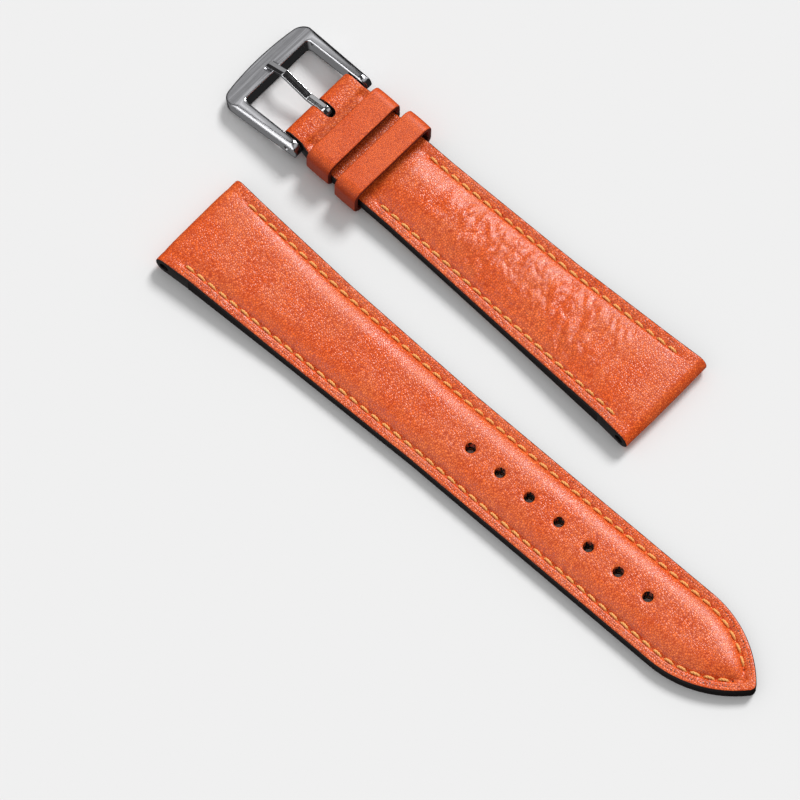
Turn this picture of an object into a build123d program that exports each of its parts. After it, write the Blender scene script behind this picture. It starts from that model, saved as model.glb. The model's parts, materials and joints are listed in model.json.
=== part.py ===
from build123d import *
import os
from math import acos, asin, atan2, cos, radians, sin, sqrt, tan

# Padded leather watch strap in two halves, laid side by side on a table: the tail half with its
# adjustment holes, and the short half with keepers, spring bar and pin buckle. Millimetres, +X along
# the strap, +Y across it, +Z up, origin under the middle of the whole, on the table.

# Plan of a half, by distance from its lug end: flared lug end, shoulder, waist, then parallel
lug_width = 20.0
shoulder_x = 7.0
shoulder_width = 19.0
waist_x = 28.0
waist_width = 17.5
taper_x = 56.0
end_width = 16.0

# Layers, from the table up, and the padded crown between the seams
lining_thickness = 0.9
core_thickness = 0.7
leather_thickness = 0.8
padding_rise = 1.0
lug_thickness = 3.7
lug_padding_rise = 0.3
padding_end_rise = 0.15
crown_flat_share = 0.12
edge_bevel = 0.35
crown_run_shares = (0.0, 0.25, 0.6, 1.0)
crown_rise_shares = (0.0, 0.62, 0.93, 1.0)

# Seam: a pulled-down channel with one thread per stitch in it
seam_inset = 2.05
seam_start = 5.0
groove_half_width = 0.45
groove_floor_share = 0.6
groove_depth = 0.3
stitch_pitch = 2.5
stitch_length = 1.8
stitch_width = 0.5
stitch_height = 0.22
stitch_play = 0.02

# Lug ends: a loop of top leather round the hole for the watch's own spring bar
lug_bore_radius = 0.9
turned_in_length = 7.0

# Tail half
tail_length = 125.0
tip_radius = 21.0
nose_radius = 1.2
hole_count = 7
hole_radius = 0.95
hole_pitch = 6.55
last_hole_setback = 23.4

# Short half and the fold that holds the buckle's bar
short_length = 80.6
fold_setback = 4.1
bar_setback = 2.3
keeper_setback = 11.5
pad_fade_setback = 14.5
pad_end_setback = 20.5
fold_width = 15.0
fold_thickness = 3.9
under_keeper_thickness = 3.0
tongue_slot_clearance = 0.25
tongue_slot_depth = 4.4
fold_flap_length = 10.0

# Keepers: flat loops of the same leather
keeper_wall = 0.9
keeper_corner = 2.0
keeper_edge_bevel = 0.2
fixed_keeper_length = 5.1
fixed_keeper_height = 6.4
fixed_keeper_clearance = 0.02
keeper_gap = 1.9
free_keeper_length = 4.8
free_keeper_height = 6.6
free_keeper_inner_width = 17.2
free_keeper_clearance = 0.05

# Spring bar: tube, two sprung pins and the spring between them
bar_radius = 0.75
bar_play = 0.1
barrel_bore_radius = 0.53
barrel_lip = 0.4
pin_radius = 0.4
pin_play = 0.03
pin_end_gap = 0.1
pin_shoulder_length = 0.5
pin_shoulder_play = 0.05
pin_spigot_radius = 0.28
pin_spigot_length = 0.75
spring_wall = 0.12

# Buckle frame, measured from the bar's axis
arm_tail = 2.2
arm_height = 3.4
arm_side_clearance = 0.3
arm_end_thickness = 1.5
arm_front_thickness = 2.15
arm_bevel = 0.5
corner_radius = 2.4
window_corner_radius = 0.8
front_reach = 15.7
front_bow = 1.1
front_bar_width = 4.4
front_bar_height = 3.3
front_slope = 18.0
front_overhang = 0.25
front_edge_radius = 0.35
front_foot_radius = 0.8

# Tongue: a cranked strip curled round the bar
tongue_width = 1.4
tongue_thickness = 0.8
tongue_play = 0.05
tongue_heel_x = 3.6
tongue_heel_drop = 0.3
tongue_knee_setback = 2.4
tongue_tip_overlap = 1.6
tongue_seat_gap = 0.02
tongue_notch_gap = 0.3
tongue_notch_side = 0.25
tongue_notch_depth = 0.15

# How the two halves lie
half_spacing = 29.1
lug_stagger = 80.5
tail_yaw = 0.75

cut_overrun = 1.0

rim_height = lining_thickness + core_thickness + leather_thickness
crown_height = rim_height + padding_rise
lug_loop_radius = lug_thickness / 2
fold_radius = fold_thickness / 2
fold_centre_x = short_length - fold_radius
fold_start_x = short_length - fold_setback
bar_x = short_length - bar_setback
fixed_keeper_x = short_length - keeper_setback
free_keeper_x = fixed_keeper_x - keeper_gap - free_keeper_length
pad_fade_x = short_length - pad_fade_setback
pad_end_x = short_length - pad_end_setback
first_hole_x = tail_length - last_hole_setback - hole_pitch * (hole_count - 1)
tongue_slot_width = tongue_width + 2 * tongue_slot_clearance
arm_inner_width = fold_width + 2 * arm_side_clearance
arm_outer_width = arm_inner_width + 2 * arm_end_thickness
corner_width = arm_inner_width + 2 * arm_front_thickness
lowest_keeper_z = -(free_keeper_clearance + keeper_wall)

# The short half rests on its lug end and on the free keeper, so it rises towards the buckle; the
# buckle hangs down from the bar until the foot of its front bar touches the table
short_tilt = asin(-lowest_keeper_z / free_keeper_x)
bar_height = bar_x * sin(short_tilt) + fold_radius * cos(short_tilt)
front_half = front_bar_height / 2
window_reach = front_reach - front_bar_width
front_profile_reach = front_reach + front_overhang
foot_x = front_profile_reach - front_foot_radius
foot_z = front_foot_radius - front_half
foot_angle = asin((bar_height - front_foot_radius) / sqrt(foot_x**2 + foot_z**2))
buckle_drop = foot_angle + asin(foot_z / sqrt(foot_x**2 + foot_z**2))

# Bench coordinates start at the tail half's lug end; the origin is moved to the middle of the whole
bar_bench_x = lug_stagger - bar_x * cos(short_tilt) + fold_radius * sin(short_tilt)
front_edge_x = front_profile_reach - front_edge_radius
front_edge_z = front_half - front_bar_width * tan(radians(front_slope)) - front_edge_radius
front_bench_x = bar_bench_x - front_reach * cos(buckle_drop) - front_edge_z * sin(buckle_drop)
tip_bench_x = tail_length * cos(radians(tail_yaw))
middle_x = (front_bench_x + tip_bench_x) / 2
middle_y = (half_spacing + lug_width / 2 - lug_width / 2 * cos(radians(tail_yaw))) / 2

tail_base = Plane(
    origin=(-middle_x, -middle_y, 0),
    x_dir=(cos(radians(tail_yaw)), sin(radians(tail_yaw)), 0),
    z_dir=(0, 0, 1),
)
short_base = Plane(
    origin=(lug_stagger - middle_x, half_spacing - middle_y, 0),
    x_dir=(-cos(short_tilt), 0, sin(short_tilt)),
    z_dir=(sin(short_tilt), 0, cos(short_tilt)),
)
buckle_base = Plane(
    origin=(bar_bench_x - middle_x, half_spacing - middle_y, bar_height),
    x_dir=(-cos(buckle_drop), 0, -sin(buckle_drop)),
    z_dir=(-sin(buckle_drop), 0, cos(buckle_drop)),
)
bar_base = Plane(
    origin=buckle_base.origin,
    x_dir=(1, 0, 0),
    z_dir=(0, 1, 0),
)


def level(base: Plane, height: float = 0) -> Plane:
    """The plan plane of a half, at a height over its underside."""
    return Plane(base.location * Plane.XY.offset(height).location)


def across(base: Plane, x: float) -> Plane:
    """The plane across a half at a distance from its lug end; its x is across, its y is up."""
    return Plane(base.location * Plane.YZ.offset(x).location)


def lengthwise(base: Plane) -> Plane:
    """The upright plane along the middle of a half; its x is along, its y is up."""
    return Plane(base.location * Plane.XZ.location)


def width_at(x: float) -> float:
    """Width of either half at a distance from its lug end, before the fold."""
    stations = (
        (0.0, lug_width),
        (shoulder_x, shoulder_width),
        (waist_x, waist_width),
        (taper_x, end_width),
    )
    for (near_x, near_width), (far_x, far_width) in zip(stations, stations[1:]):
        if x <= far_x:
            return near_width + (far_width - near_width) * (x - near_x) / (far_x - near_x)
    return end_width


def rim_at(x: float) -> float:
    """Height of the flat rim outside the seam."""
    if x <= shoulder_x:
        return lug_thickness
    run = min((x - shoulder_x) / (waist_x - shoulder_x), 1)
    return lug_thickness + (rim_height - lug_thickness) * run


def crown_insets(width: float) -> list[float]:
    """Insets from the edge of the lines that shape the crown, from its foot to its flat top."""
    foot = seam_inset + groove_half_width
    run = width / 2 * (1 - crown_flat_share) - foot
    return [foot + run * share for share in crown_run_shares]


def section(base: Plane, x: float, width: float, rim: float, rise: float, lower: float) -> Sketch:
    """One section across a half, its top lowered by a layer's thickness; no rise, no crown."""
    half = width / 2
    side = [(half, 0), (half, rim - edge_bevel - lower), (half - edge_bevel, rim - lower)]
    if rise:
        for inset, share in zip(crown_insets(width), crown_rise_shares):
            side.append((half - inset, rim + rise * share - lower))
    mirrored = [(-y, z) for y, z in reversed(side)]
    with BuildSketch(across(base, x)) as profile:
        with BuildLine():
            Polyline(side + mirrored, close=True)
        make_face()
    return profile.sketch


# The tip is two arcs that meet in a point, rounded by a small nose
tip_centre_y = tip_radius - end_width / 2
nose_reach = sqrt((tip_radius - nose_radius) ** 2 - tip_centre_y**2)
tip_start_x = tail_length - nose_radius - nose_reach
nose_x = tail_length - nose_radius


def tip_outline(inset: float) -> list[tuple]:
    """Upper half of the tip: middle of the long arc, its end, and the foremost point."""
    radius = tip_radius - inset
    if inset < nose_radius:
        end_angle = acos(tip_centre_y / (tip_radius - nose_radius))
        foremost = (nose_x + nose_radius - inset, 0)
    else:
        end_angle = acos(tip_centre_y / radius)
        foremost = (tip_start_x + radius * sin(end_angle), 0)
    along = [
        (tip_start_x + radius * sin(angle), radius * cos(angle) - tip_centre_y)
        for angle in (end_angle / 2, end_angle)
    ]
    return along + [foremost]


def plan(height: float, insets: tuple, lower: float = 0) -> Sketch:
    """Plan outline of the tail half from its waist to its tip, drawn in by one inset per station."""
    waist_half = waist_width / 2 - insets[0]
    end_half = end_width / 2 - insets[1]
    mid, end, foremost = tip_outline(insets[1])
    with BuildSketch(level(tail_base, height - lower)) as outline:
        with BuildLine():
            Polyline((waist_x, waist_half), (taper_x, end_half), (tip_start_x, end_half))
            ThreePointArc((tip_start_x, end_half), mid, end if insets[1] < nose_radius else foremost)
            if insets[1] < nose_radius:
                ThreePointArc(end, foremost, (end[0], -end[1]))
            lower_end = (end[0], -end[1]) if insets[1] < nose_radius else foremost
            ThreePointArc(lower_end, (mid[0], -mid[1]), (tip_start_x, -end_half))
            Polyline(
                (tip_start_x, -end_half),
                (taper_x, -end_half),
                (waist_x, -waist_half),
                (waist_x, waist_half),
            )
        make_face()
    return outline.sketch


def tail_body(lower: float, padded: bool) -> Part:
    """The tail half as one body: all of it, or what a layer of leather covers."""
    lug_rises = (padding_end_rise, lug_padding_rise, padding_rise) if padded else (0, 0, 0)
    crown_stations = zip(crown_insets(waist_width), crown_insets(end_width), crown_rise_shares)
    with BuildPart() as body:
        loft(
            [
                section(tail_base, x, width_at(x), rim_at(x), rise, lower)
                for x, rise in zip((0, shoulder_x, waist_x), lug_rises)
            ],
            ruled=True,
        )
        extrude(plan(0, (0, 0)), amount=rim_height - edge_bevel - lower)
        loft(
            [
                plan(rim_height - edge_bevel, (0, 0), lower),
                plan(rim_height, (edge_bevel, edge_bevel), lower),
            ],
            ruled=True,
        )
        if padded:
            loft(
                [
                    plan(rim_height + padding_rise * share, (waist_inset, end_inset), lower)
                    for waist_inset, end_inset, share in crown_stations
                ],
                ruled=True,
            )
    return body.part


def short_body(lower: float, padded: bool) -> Part:
    """The short half as one body, from the lug end to the fold round the bar."""
    rises = {
        0: padding_end_rise,
        shoulder_x: lug_padding_rise,
        waist_x: padding_rise,
        taper_x: padding_rise,
        pad_end_x: padding_rise,
        pad_fade_x: padding_end_rise,
    }
    fold_stations = (
        (pad_fade_x, end_width, rim_height),
        (fixed_keeper_x + fixed_keeper_length, end_width, under_keeper_thickness),
        (fold_start_x, fold_width, fold_thickness),
        (short_length, fold_width, fold_thickness),
    )
    with BuildPart() as body:
        loft(
            [
                section(short_base, x, width_at(x), rim_at(x), rise if padded else 0, lower)
                for x, rise in rises.items()
            ],
            ruled=True,
        )
        loft(
            [section(short_base, x, width, rim, 0, lower) for x, width, rim in fold_stations],
            ruled=True,
        )
    return body.part


def lug_loop(base: Plane) -> Part:
    """The leather turned round the lug end and in under it, across the whole width."""
    with BuildPart() as loop:
        with BuildSketch(lengthwise(base)):
            with Locations((lug_loop_radius, lug_loop_radius)):
                Circle(lug_loop_radius)
            with Locations((0, 0)):
                Rectangle(lug_loop_radius, lug_thickness, align=(Align.MIN, Align.MIN))
                Rectangle(turned_in_length, lining_thickness, align=(Align.MIN, Align.MIN))
        extrude(amount=lug_width, both=True)
    return loop.part


def fold_loop(base: Plane) -> Part:
    """The leather turned round the bar and back under the short half."""
    with BuildPart() as loop:
        with BuildSketch(lengthwise(base)):
            with Locations((fold_centre_x, fold_radius)):
                Circle(fold_radius)
            with Locations((short_length, 0)):
                Rectangle(fold_radius, fold_thickness, align=(Align.MAX, Align.MIN))
                Rectangle(fold_flap_length, lining_thickness, align=(Align.MAX, Align.MIN))
        extrude(amount=lug_width, both=True)
    return loop.part


def side_profile(base: Plane, length: float, folded: bool) -> Part:
    """What the rounded ends leave of a half, seen from the side."""
    top = crown_height + lug_thickness
    with BuildPart() as profile:
        with BuildSketch(lengthwise(base)):
            with BuildLine():
                loop = lug_loop_radius
                ThreePointArc((loop, 0), (0, loop), (loop, lug_thickness))
                Polyline((loop, lug_thickness), (shoulder_x, top), (taper_x, top))
                if folded:
                    fold_top = (fold_centre_x, fold_thickness)
                    Polyline((taper_x, top), (fold_start_x, top), fold_top)
                    ThreePointArc(fold_top, (length, fold_radius), (fold_centre_x, 0))
                    Line((fold_centre_x, 0), (loop, 0))
                else:
                    end_x = length + cut_overrun
                    Polyline((taper_x, top), (end_x, top), (end_x, 0), (loop, 0))
            make_face()
        extrude(amount=lug_width, both=True)
    return profile.part


def below(base: Plane, length: float, height: float) -> Part:
    """Everything under a height, along a half."""
    with BuildPart() as slab:
        with BuildSketch(level(base)):
            with Locations((length / 2, 0)):
                Rectangle(length + 2 * cut_overrun, lug_width + 2 * cut_overrun)
        extrude(amount=height)
    return slab.part


def groove_section(base: Plane) -> Sketch:
    """Cross-section of the seam channel; its plane's x is across the seam and its y is up."""
    flare = groove_half_width * (1 - groove_floor_share) / groove_depth
    wide, narrow = (groove_half_width + flare * rise for rise in (cut_overrun, -groove_depth))
    with BuildSketch(base) as profile:
        with BuildLine():
            Polyline(
                (wide, cut_overrun),
                (-wide, cut_overrun),
                (-narrow, -groove_depth),
                (narrow, -groove_depth),
                close=True,
            )
        make_face()
    return profile.sketch


def seam_groove(base: Plane, end_x: float) -> Part:
    """Flat-floored channels along both straight seams, from the lug end to a given distance."""
    stops = [x for x in (seam_start, shoulder_x, waist_x, taper_x) if x < end_x] + [end_x]
    with BuildPart() as channel:
        for side in (1, -1):
            loft(
                [
                    groove_section(
                        Plane(
                            across(base, x).location
                            * Location((side * (width_at(x) / 2 - seam_inset), rim_at(x)))
                        )
                    )
                    for x in stops
                ],
                ruled=True,
            )
    return channel.part


def tip_groove() -> Part:
    """The same channel round the pointed tip."""
    half = end_width / 2 - seam_inset
    mid, end, foremost = tip_outline(seam_inset)
    start = across(tail_base, tip_start_x).location
    with BuildPart() as channel:
        for side in (1, -1):
            with BuildLine(level(tail_base, rim_height)) as path:
                ThreePointArc(
                    (tip_start_x, side * half), (mid[0], side * mid[1]), (foremost[0], foremost[1])
                )
            sweep(groove_section(Plane(start * Location((side * half, rim_height)))), path=path.line)
    return channel.part


def seam_point(base: Plane, distance: float, side: int) -> Vector:
    """A point on the channel's floor, by distance from the lug end along the seam."""
    height = rim_at(distance) - groove_depth + stitch_play
    half = width_at(distance) / 2 - seam_inset
    if distance <= tip_start_x:
        return base.from_local_coords(Vector(distance, side * half, height))
    radius = tip_radius - seam_inset
    angle = (distance - tip_start_x) / radius
    return base.from_local_coords(
        Vector(
            tip_start_x + radius * sin(angle),
            side * (radius * cos(angle) - tip_centre_y),
            height,
        )
    )


def stitch_planes(base: Plane, seam_length: float) -> list[Plane]:
    """Where each stitch of both seams lies, from needle hole to needle hole."""
    planes = []
    count = int((seam_length - seam_start - stitch_length) / stitch_pitch) + 1
    for side in (1, -1):
        for index in range(count):
            entry = seam_start + index * stitch_pitch
            near = seam_point(base, entry, side)
            far = seam_point(base, entry + stitch_length, side)
            along = (far - near).normalized()
            up = base.z_dir - along * base.z_dir.dot(along)
            planes.append(Plane(origin=(near + far) / 2, x_dir=along, z_dir=up))
    return planes


def keeper(x: float, length: float, inner_width: float, height: float, play: float) -> Part:
    """A flat loop of leather round the short half, open for the tail above it."""
    floor = -play
    inner_height = height - 2 * keeper_wall
    with BuildPart() as loop:
        with BuildSketch(across(short_base, x)):
            with Locations((0, floor + inner_height / 2)):
                RectangleRounded(inner_width + 2 * keeper_wall, height, keeper_corner)
                RectangleRounded(
                    inner_width, inner_height, keeper_corner - keeper_wall, mode=Mode.SUBTRACT
                )
            with Locations((0, floor)):
                Rectangle(
                    inner_width, inner_height / 2, align=(Align.CENTER, Align.MIN), mode=Mode.SUBTRACT
                )
        extrude(amount=length)
        rims = loop.faces().filter_by(across(short_base, x))
        chamfer([edge for rim in rims for edge in rim.outer_wire().edges()], keeper_edge_bevel)
    return loop.part


# Tail half
with BuildPart() as tail_filling:
    add(tail_body(leather_thickness, padded=True))
    add(lug_loop(tail_base), mode=Mode.SUBTRACT)

tail_flat = tail_body(leather_thickness, padded=False)
tail_lower = below(tail_base, tail_length, lining_thickness)

with BuildPart() as tail_holes:
    with BuildSketch(level(tail_base, -cut_overrun)):
        with Locations((first_hole_x + hole_pitch * (hole_count - 1) / 2, 0)):
            with GridLocations(hole_pitch, hole_pitch, hole_count, 1):
                Circle(hole_radius)
    extrude(amount=crown_height + 2 * cut_overrun)

with BuildPart() as tail_top_leather:
    add(tail_body(0, padded=True))
    add(side_profile(tail_base, tail_length, folded=False), mode=Mode.INTERSECT)
    add(tail_filling.part, mode=Mode.SUBTRACT)
    with BuildSketch(lengthwise(tail_base)):
        with Locations((lug_loop_radius, lug_loop_radius)):
            Circle(lug_bore_radius)
    extrude(amount=lug_width, both=True, mode=Mode.SUBTRACT)
    add(seam_groove(tail_base, tip_start_x), mode=Mode.SUBTRACT)
    add(tip_groove(), mode=Mode.SUBTRACT)
    add(tail_holes.part, mode=Mode.SUBTRACT)

with BuildPart() as tail_padding:
    add(tail_filling.part)
    add(tail_flat, mode=Mode.SUBTRACT)
    add(tail_holes.part, mode=Mode.SUBTRACT)

with BuildPart() as tail_core:
    add(tail_filling.part)
    add(tail_flat, mode=Mode.INTERSECT)
    add(tail_lower, mode=Mode.SUBTRACT)
    add(tail_holes.part, mode=Mode.SUBTRACT)

with BuildPart() as tail_lining:
    add(tail_filling.part)
    add(tail_lower, mode=Mode.INTERSECT)
    add(tail_holes.part, mode=Mode.SUBTRACT)

tip_seam = (tip_radius - seam_inset) * acos(tip_centre_y / (tip_radius - seam_inset))
stitch_align = (Align.CENTER, Align.CENTER, Align.MIN)
with BuildPart() as tail_stitching:
    with Locations(*stitch_planes(tail_base, tip_start_x + tip_seam - stitch_width)):
        Box(stitch_length, stitch_width, stitch_height, align=stitch_align)

# Short half
with BuildPart() as short_filling:
    add(short_body(leather_thickness, padded=True))
    add(lug_loop(short_base), mode=Mode.SUBTRACT)
    add(fold_loop(short_base), mode=Mode.SUBTRACT)

short_flat = short_body(leather_thickness, padded=False)
short_lower = below(short_base, short_length, lining_thickness)

with BuildPart() as tongue_slot:
    with BuildSketch(level(short_base, -cut_overrun)):
        end_x = short_length - tongue_slot_depth + tongue_slot_width / 2
        with Locations((end_x, 0)):
            Circle(tongue_slot_width / 2)
            Rectangle(
                tongue_slot_depth + cut_overrun, tongue_slot_width, align=(Align.MIN, Align.CENTER)
            )
    extrude(amount=fold_thickness + 2 * cut_overrun)

with BuildPart() as short_top_leather:
    add(short_body(0, padded=True))
    add(side_profile(short_base, short_length, folded=True), mode=Mode.INTERSECT)
    add(short_filling.part, mode=Mode.SUBTRACT)
    with BuildSketch(lengthwise(short_base)):
        with Locations((lug_loop_radius, lug_loop_radius)):
            Circle(lug_bore_radius)
        with Locations((bar_x, fold_radius)):
            Circle(bar_radius + bar_play)
    extrude(amount=lug_width, both=True, mode=Mode.SUBTRACT)
    add(seam_groove(short_base, pad_end_x), mode=Mode.SUBTRACT)
    add(tongue_slot.part, mode=Mode.SUBTRACT)

with BuildPart() as short_padding:
    add(short_filling.part)
    add(short_flat, mode=Mode.SUBTRACT)

with BuildPart() as short_core:
    add(short_filling.part)
    add(short_flat, mode=Mode.INTERSECT)
    add(short_lower, mode=Mode.SUBTRACT)
    add(tongue_slot.part, mode=Mode.SUBTRACT)

with BuildPart() as short_lining:
    add(short_filling.part)
    add(short_lower, mode=Mode.INTERSECT)

with BuildPart() as short_stitching:
    with Locations(*stitch_planes(short_base, pad_end_x)):
        Box(stitch_length, stitch_width, stitch_height, align=stitch_align)

with BuildPart() as fixed_keeper:
    add(
        keeper(
            fixed_keeper_x,
            fixed_keeper_length,
            end_width + 2 * fixed_keeper_clearance,
            fixed_keeper_height,
            fixed_keeper_clearance,
        )
    )

with BuildPart() as free_keeper:
    add(
        keeper(
            free_keeper_x,
            free_keeper_length,
            free_keeper_inner_width,
            free_keeper_height,
            free_keeper_clearance,
        )
    )

# Spring bar, built along its own axis from the middle outwards
barrel_half = arm_inner_width / 2 - pin_end_gap
pin_end = arm_outer_width / 2 - pin_end_gap
shoulder_out = barrel_half - barrel_lip
shoulder_in = shoulder_out - pin_shoulder_length

with BuildPart() as bar_barrel:
    with BuildSketch(bar_base.offset(-barrel_half)):
        Circle(bar_radius)
        Circle(pin_radius + pin_play, mode=Mode.SUBTRACT)
    extrude(amount=2 * barrel_half)
    with BuildSketch(bar_base.offset(-shoulder_out)):
        Circle(barrel_bore_radius)
    extrude(amount=2 * shoulder_out, mode=Mode.SUBTRACT)


def bar_pin(side: int) -> Part:
    """One sprung pin: tip, shoulder behind the barrel's lip, and spigot inside the spring."""
    shoulder_radius = barrel_bore_radius - pin_shoulder_play
    spigot_end = shoulder_in - pin_spigot_length
    with BuildPart() as pin:
        with BuildSketch(Plane(origin=bar_base.origin, x_dir=(1, 0, 0), z_dir=(0, 0, 1))):
            with BuildLine():
                Polyline(
                    (0, side * spigot_end),
                    (pin_spigot_radius, side * spigot_end),
                    (pin_spigot_radius, side * shoulder_in),
                    (shoulder_radius, side * shoulder_in),
                    (shoulder_radius, side * shoulder_out),
                    (pin_radius, side * shoulder_out),
                    (pin_radius, side * pin_end),
                    (0, side * pin_end),
                    close=True,
                )
            make_face()
        revolve(axis=Axis(bar_base.origin, (0, 1, 0)))
    return pin.part


with BuildPart() as bar_pin_right:
    add(bar_pin(1))

with BuildPart() as bar_pin_left:
    add(bar_pin(-1))

with BuildPart() as bar_spring:
    with BuildSketch(bar_base.offset(-shoulder_in)):
        Circle(pin_spigot_radius + pin_play + spring_wall)
        Circle(pin_spigot_radius + pin_play, mode=Mode.SUBTRACT)
    extrude(amount=2 * shoulder_in)

# Buckle frame: two arms that straddle the fold, and a bowed front bar that slopes down to its edge
front_dx, front_dz = front_edge_x - window_reach, front_half - front_edge_z
facet_slope = atan2(front_dz, front_dx) - asin(front_edge_radius / sqrt(front_dx**2 + front_dz**2))
facet_base = Plane(
    buckle_base.location
    * Plane(
        origin=(window_reach, 0, front_half),
        x_dir=(cos(facet_slope), 0, -sin(facet_slope)),
        z_dir=(sin(facet_slope), 0, cos(facet_slope)),
    ).location
)


def on_facet(run: float, height: float) -> tuple[float, float]:
    """A point over the front bar's slope, in the frame's upright middle plane."""
    return (
        window_reach + run * cos(facet_slope) + height * sin(facet_slope),
        front_half - run * sin(facet_slope) + height * cos(facet_slope),
    )


def frame_half(x: float) -> float:
    """Half of the frame's width at a distance from the bar."""
    run = (x + arm_tail) / (front_reach - front_bow + arm_tail)
    return (arm_outer_width + (corner_width - arm_outer_width) * run) / 2


def bevelled_section(x: float) -> Sketch:
    """The frame's outline across its arms, with bevelled outer edges and room above and below."""
    half, side = frame_half(x), arm_height / 2 - arm_bevel
    inner, top = half - arm_bevel - cut_overrun, arm_height / 2 + cut_overrun
    with BuildSketch(across(buckle_base, x)) as outline:
        with BuildLine():
            Polyline(
                (half, side),
                (inner, top),
                (-inner, top),
                (-half, side),
                (-half, -side),
                (-inner, -top),
                (inner, -top),
                (half, -side),
                close=True,
            )
        make_face()
    return outline.sketch


with BuildPart() as buckle_frame:
    with BuildSketch(buckle_base) as frame_plan:
        tail_x, side_x = -arm_tail - cut_overrun, front_reach - front_bow
        with BuildLine():
            Polyline(
                (side_x, -frame_half(side_x)),
                (tail_x, -frame_half(tail_x)),
                (tail_x, frame_half(tail_x)),
                (side_x, frame_half(side_x)),
            )
            ThreePointArc(
                (side_x, frame_half(side_x)), (front_reach, 0), (side_x, -frame_half(side_x))
            )
        make_face()
        fillet(frame_plan.vertices().sort_by(Axis.X)[-2:], corner_radius)
    extrude(amount=arm_height, both=True)
    with BuildSketch(buckle_base) as window_plan:
        with Locations((window_reach, 0)):
            Rectangle(
                window_reach + arm_tail + cut_overrun,
                arm_inner_width,
                align=(Align.MAX, Align.CENTER),
            )
        fillet(window_plan.vertices().sort_by(Axis.X)[-2:], window_corner_radius)
    extrude(amount=arm_height, both=True, mode=Mode.SUBTRACT)
    with BuildSketch(lengthwise(buckle_base)):
        with Locations((arm_height / 2 - arm_tail, 0)):
            Circle(arm_height / 2)
        Rectangle(window_reach, front_bar_height, align=(Align.MIN, Align.CENTER))
        with Locations((front_edge_x, front_edge_z)):
            Circle(front_edge_radius)
        with Locations((foot_x, foot_z)):
            Circle(front_foot_radius)
        make_hull()
    extrude(amount=corner_width, both=True, mode=Mode.INTERSECT)
    loft(
        [bevelled_section(-arm_tail - cut_overrun), bevelled_section(front_reach + cut_overrun)],
        ruled=True,
        mode=Mode.INTERSECT,
    )
    with BuildSketch(lengthwise(buckle_base)):
        Circle(pin_radius + pin_play)
    extrude(amount=corner_width, both=True, mode=Mode.SUBTRACT)
    with BuildSketch(level(facet_base, -tongue_notch_depth)):
        with Locations((-cut_overrun, 0)):
            Rectangle(
                tongue_tip_overlap + tongue_notch_gap + cut_overrun,
                tongue_width + 2 * tongue_notch_side,
                align=(Align.MIN, Align.CENTER),
            )
    extrude(amount=arm_height, mode=Mode.SUBTRACT)

# Tongue: curled round the barrel, raised to a knee before the front bar, and lying in its notch
curl_middle = bar_radius + tongue_play + tongue_thickness / 2
tongue_lift = tongue_seat_gap + tongue_thickness / 2 - tongue_notch_depth
with BuildPart() as buckle_tongue:
    with BuildSketch(lengthwise(buckle_base)):
        with BuildLine():
            Polyline(
                (0, curl_middle),
                (tongue_heel_x, curl_middle - tongue_heel_drop),
                on_facet(-tongue_knee_setback, tongue_lift),
                on_facet(tongue_tip_overlap, tongue_lift),
            )
        trace(line_width=tongue_thickness)
        Circle(curl_middle + tongue_thickness / 2)
        Circle(curl_middle - tongue_thickness / 2, mode=Mode.SUBTRACT)
    extrude(amount=tongue_width / 2, both=True)

pieces = {
    "tail_top_leather": tail_top_leather,
    "tail_padding": tail_padding,
    "tail_core": tail_core,
    "tail_lining": tail_lining,
    "tail_stitching": tail_stitching,
    "short_top_leather": short_top_leather,
    "short_padding": short_padding,
    "short_core": short_core,
    "short_lining": short_lining,
    "short_stitching": short_stitching,
    "fixed_keeper": fixed_keeper,
    "free_keeper": free_keeper,
    "bar_barrel": bar_barrel,
    "bar_pin_right": bar_pin_right,
    "bar_pin_left": bar_pin_left,
    "bar_spring": bar_spring,
    "buckle_frame": buckle_frame,
    "buckle_tongue": buckle_tongue,
}

os.makedirs("parts", exist_ok=True)
for name, piece in pieces.items():
    piece.part.label = name
    export_step(piece.part, f"parts/{name}.step")
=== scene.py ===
"""Looks of a padded leather watch strap: two stitched halves, two keepers, spring bar and pin buckle.

Sizes are in millimetres inside the shape classes and become metres when a mesh is made.
"""

import json
import logging
import math
from dataclasses import dataclass, field
from enum import Enum
from functools import cache

import bmesh
import bpy
import numpy as np
from mathutils import Matrix, Vector, noise
from mathutils.geometry import delaunay_2d_cdt


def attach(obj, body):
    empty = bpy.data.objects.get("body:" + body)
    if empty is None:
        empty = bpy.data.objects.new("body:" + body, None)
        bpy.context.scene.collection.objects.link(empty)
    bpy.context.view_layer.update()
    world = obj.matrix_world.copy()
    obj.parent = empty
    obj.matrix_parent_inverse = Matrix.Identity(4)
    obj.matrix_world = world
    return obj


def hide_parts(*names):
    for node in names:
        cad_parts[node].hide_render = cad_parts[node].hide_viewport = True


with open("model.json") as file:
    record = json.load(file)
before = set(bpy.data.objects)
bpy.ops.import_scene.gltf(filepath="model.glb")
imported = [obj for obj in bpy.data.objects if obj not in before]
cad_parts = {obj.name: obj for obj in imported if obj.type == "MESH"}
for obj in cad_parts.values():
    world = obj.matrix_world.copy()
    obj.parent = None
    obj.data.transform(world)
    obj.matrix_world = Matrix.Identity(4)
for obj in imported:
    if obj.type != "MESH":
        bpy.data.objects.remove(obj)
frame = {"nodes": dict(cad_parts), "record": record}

MM = 0.001
LOG = logging.getLogger("strap")

Hole = tuple[float, float, float]
Faces = list[tuple[int, ...]]
Colour = tuple[float, float, float]
Socket = bpy.types.NodeSocket


def joint(name: str) -> dict:
    """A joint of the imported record, by name."""
    return next(j for j in frame["record"]["behaviour"]["joints"] if j["name"] == name)


def mount(name: str) -> dict:
    """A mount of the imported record, by name."""
    return next(m for m in frame["record"]["mounts"] if m["name"] == name)


# Sizes and placement


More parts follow.
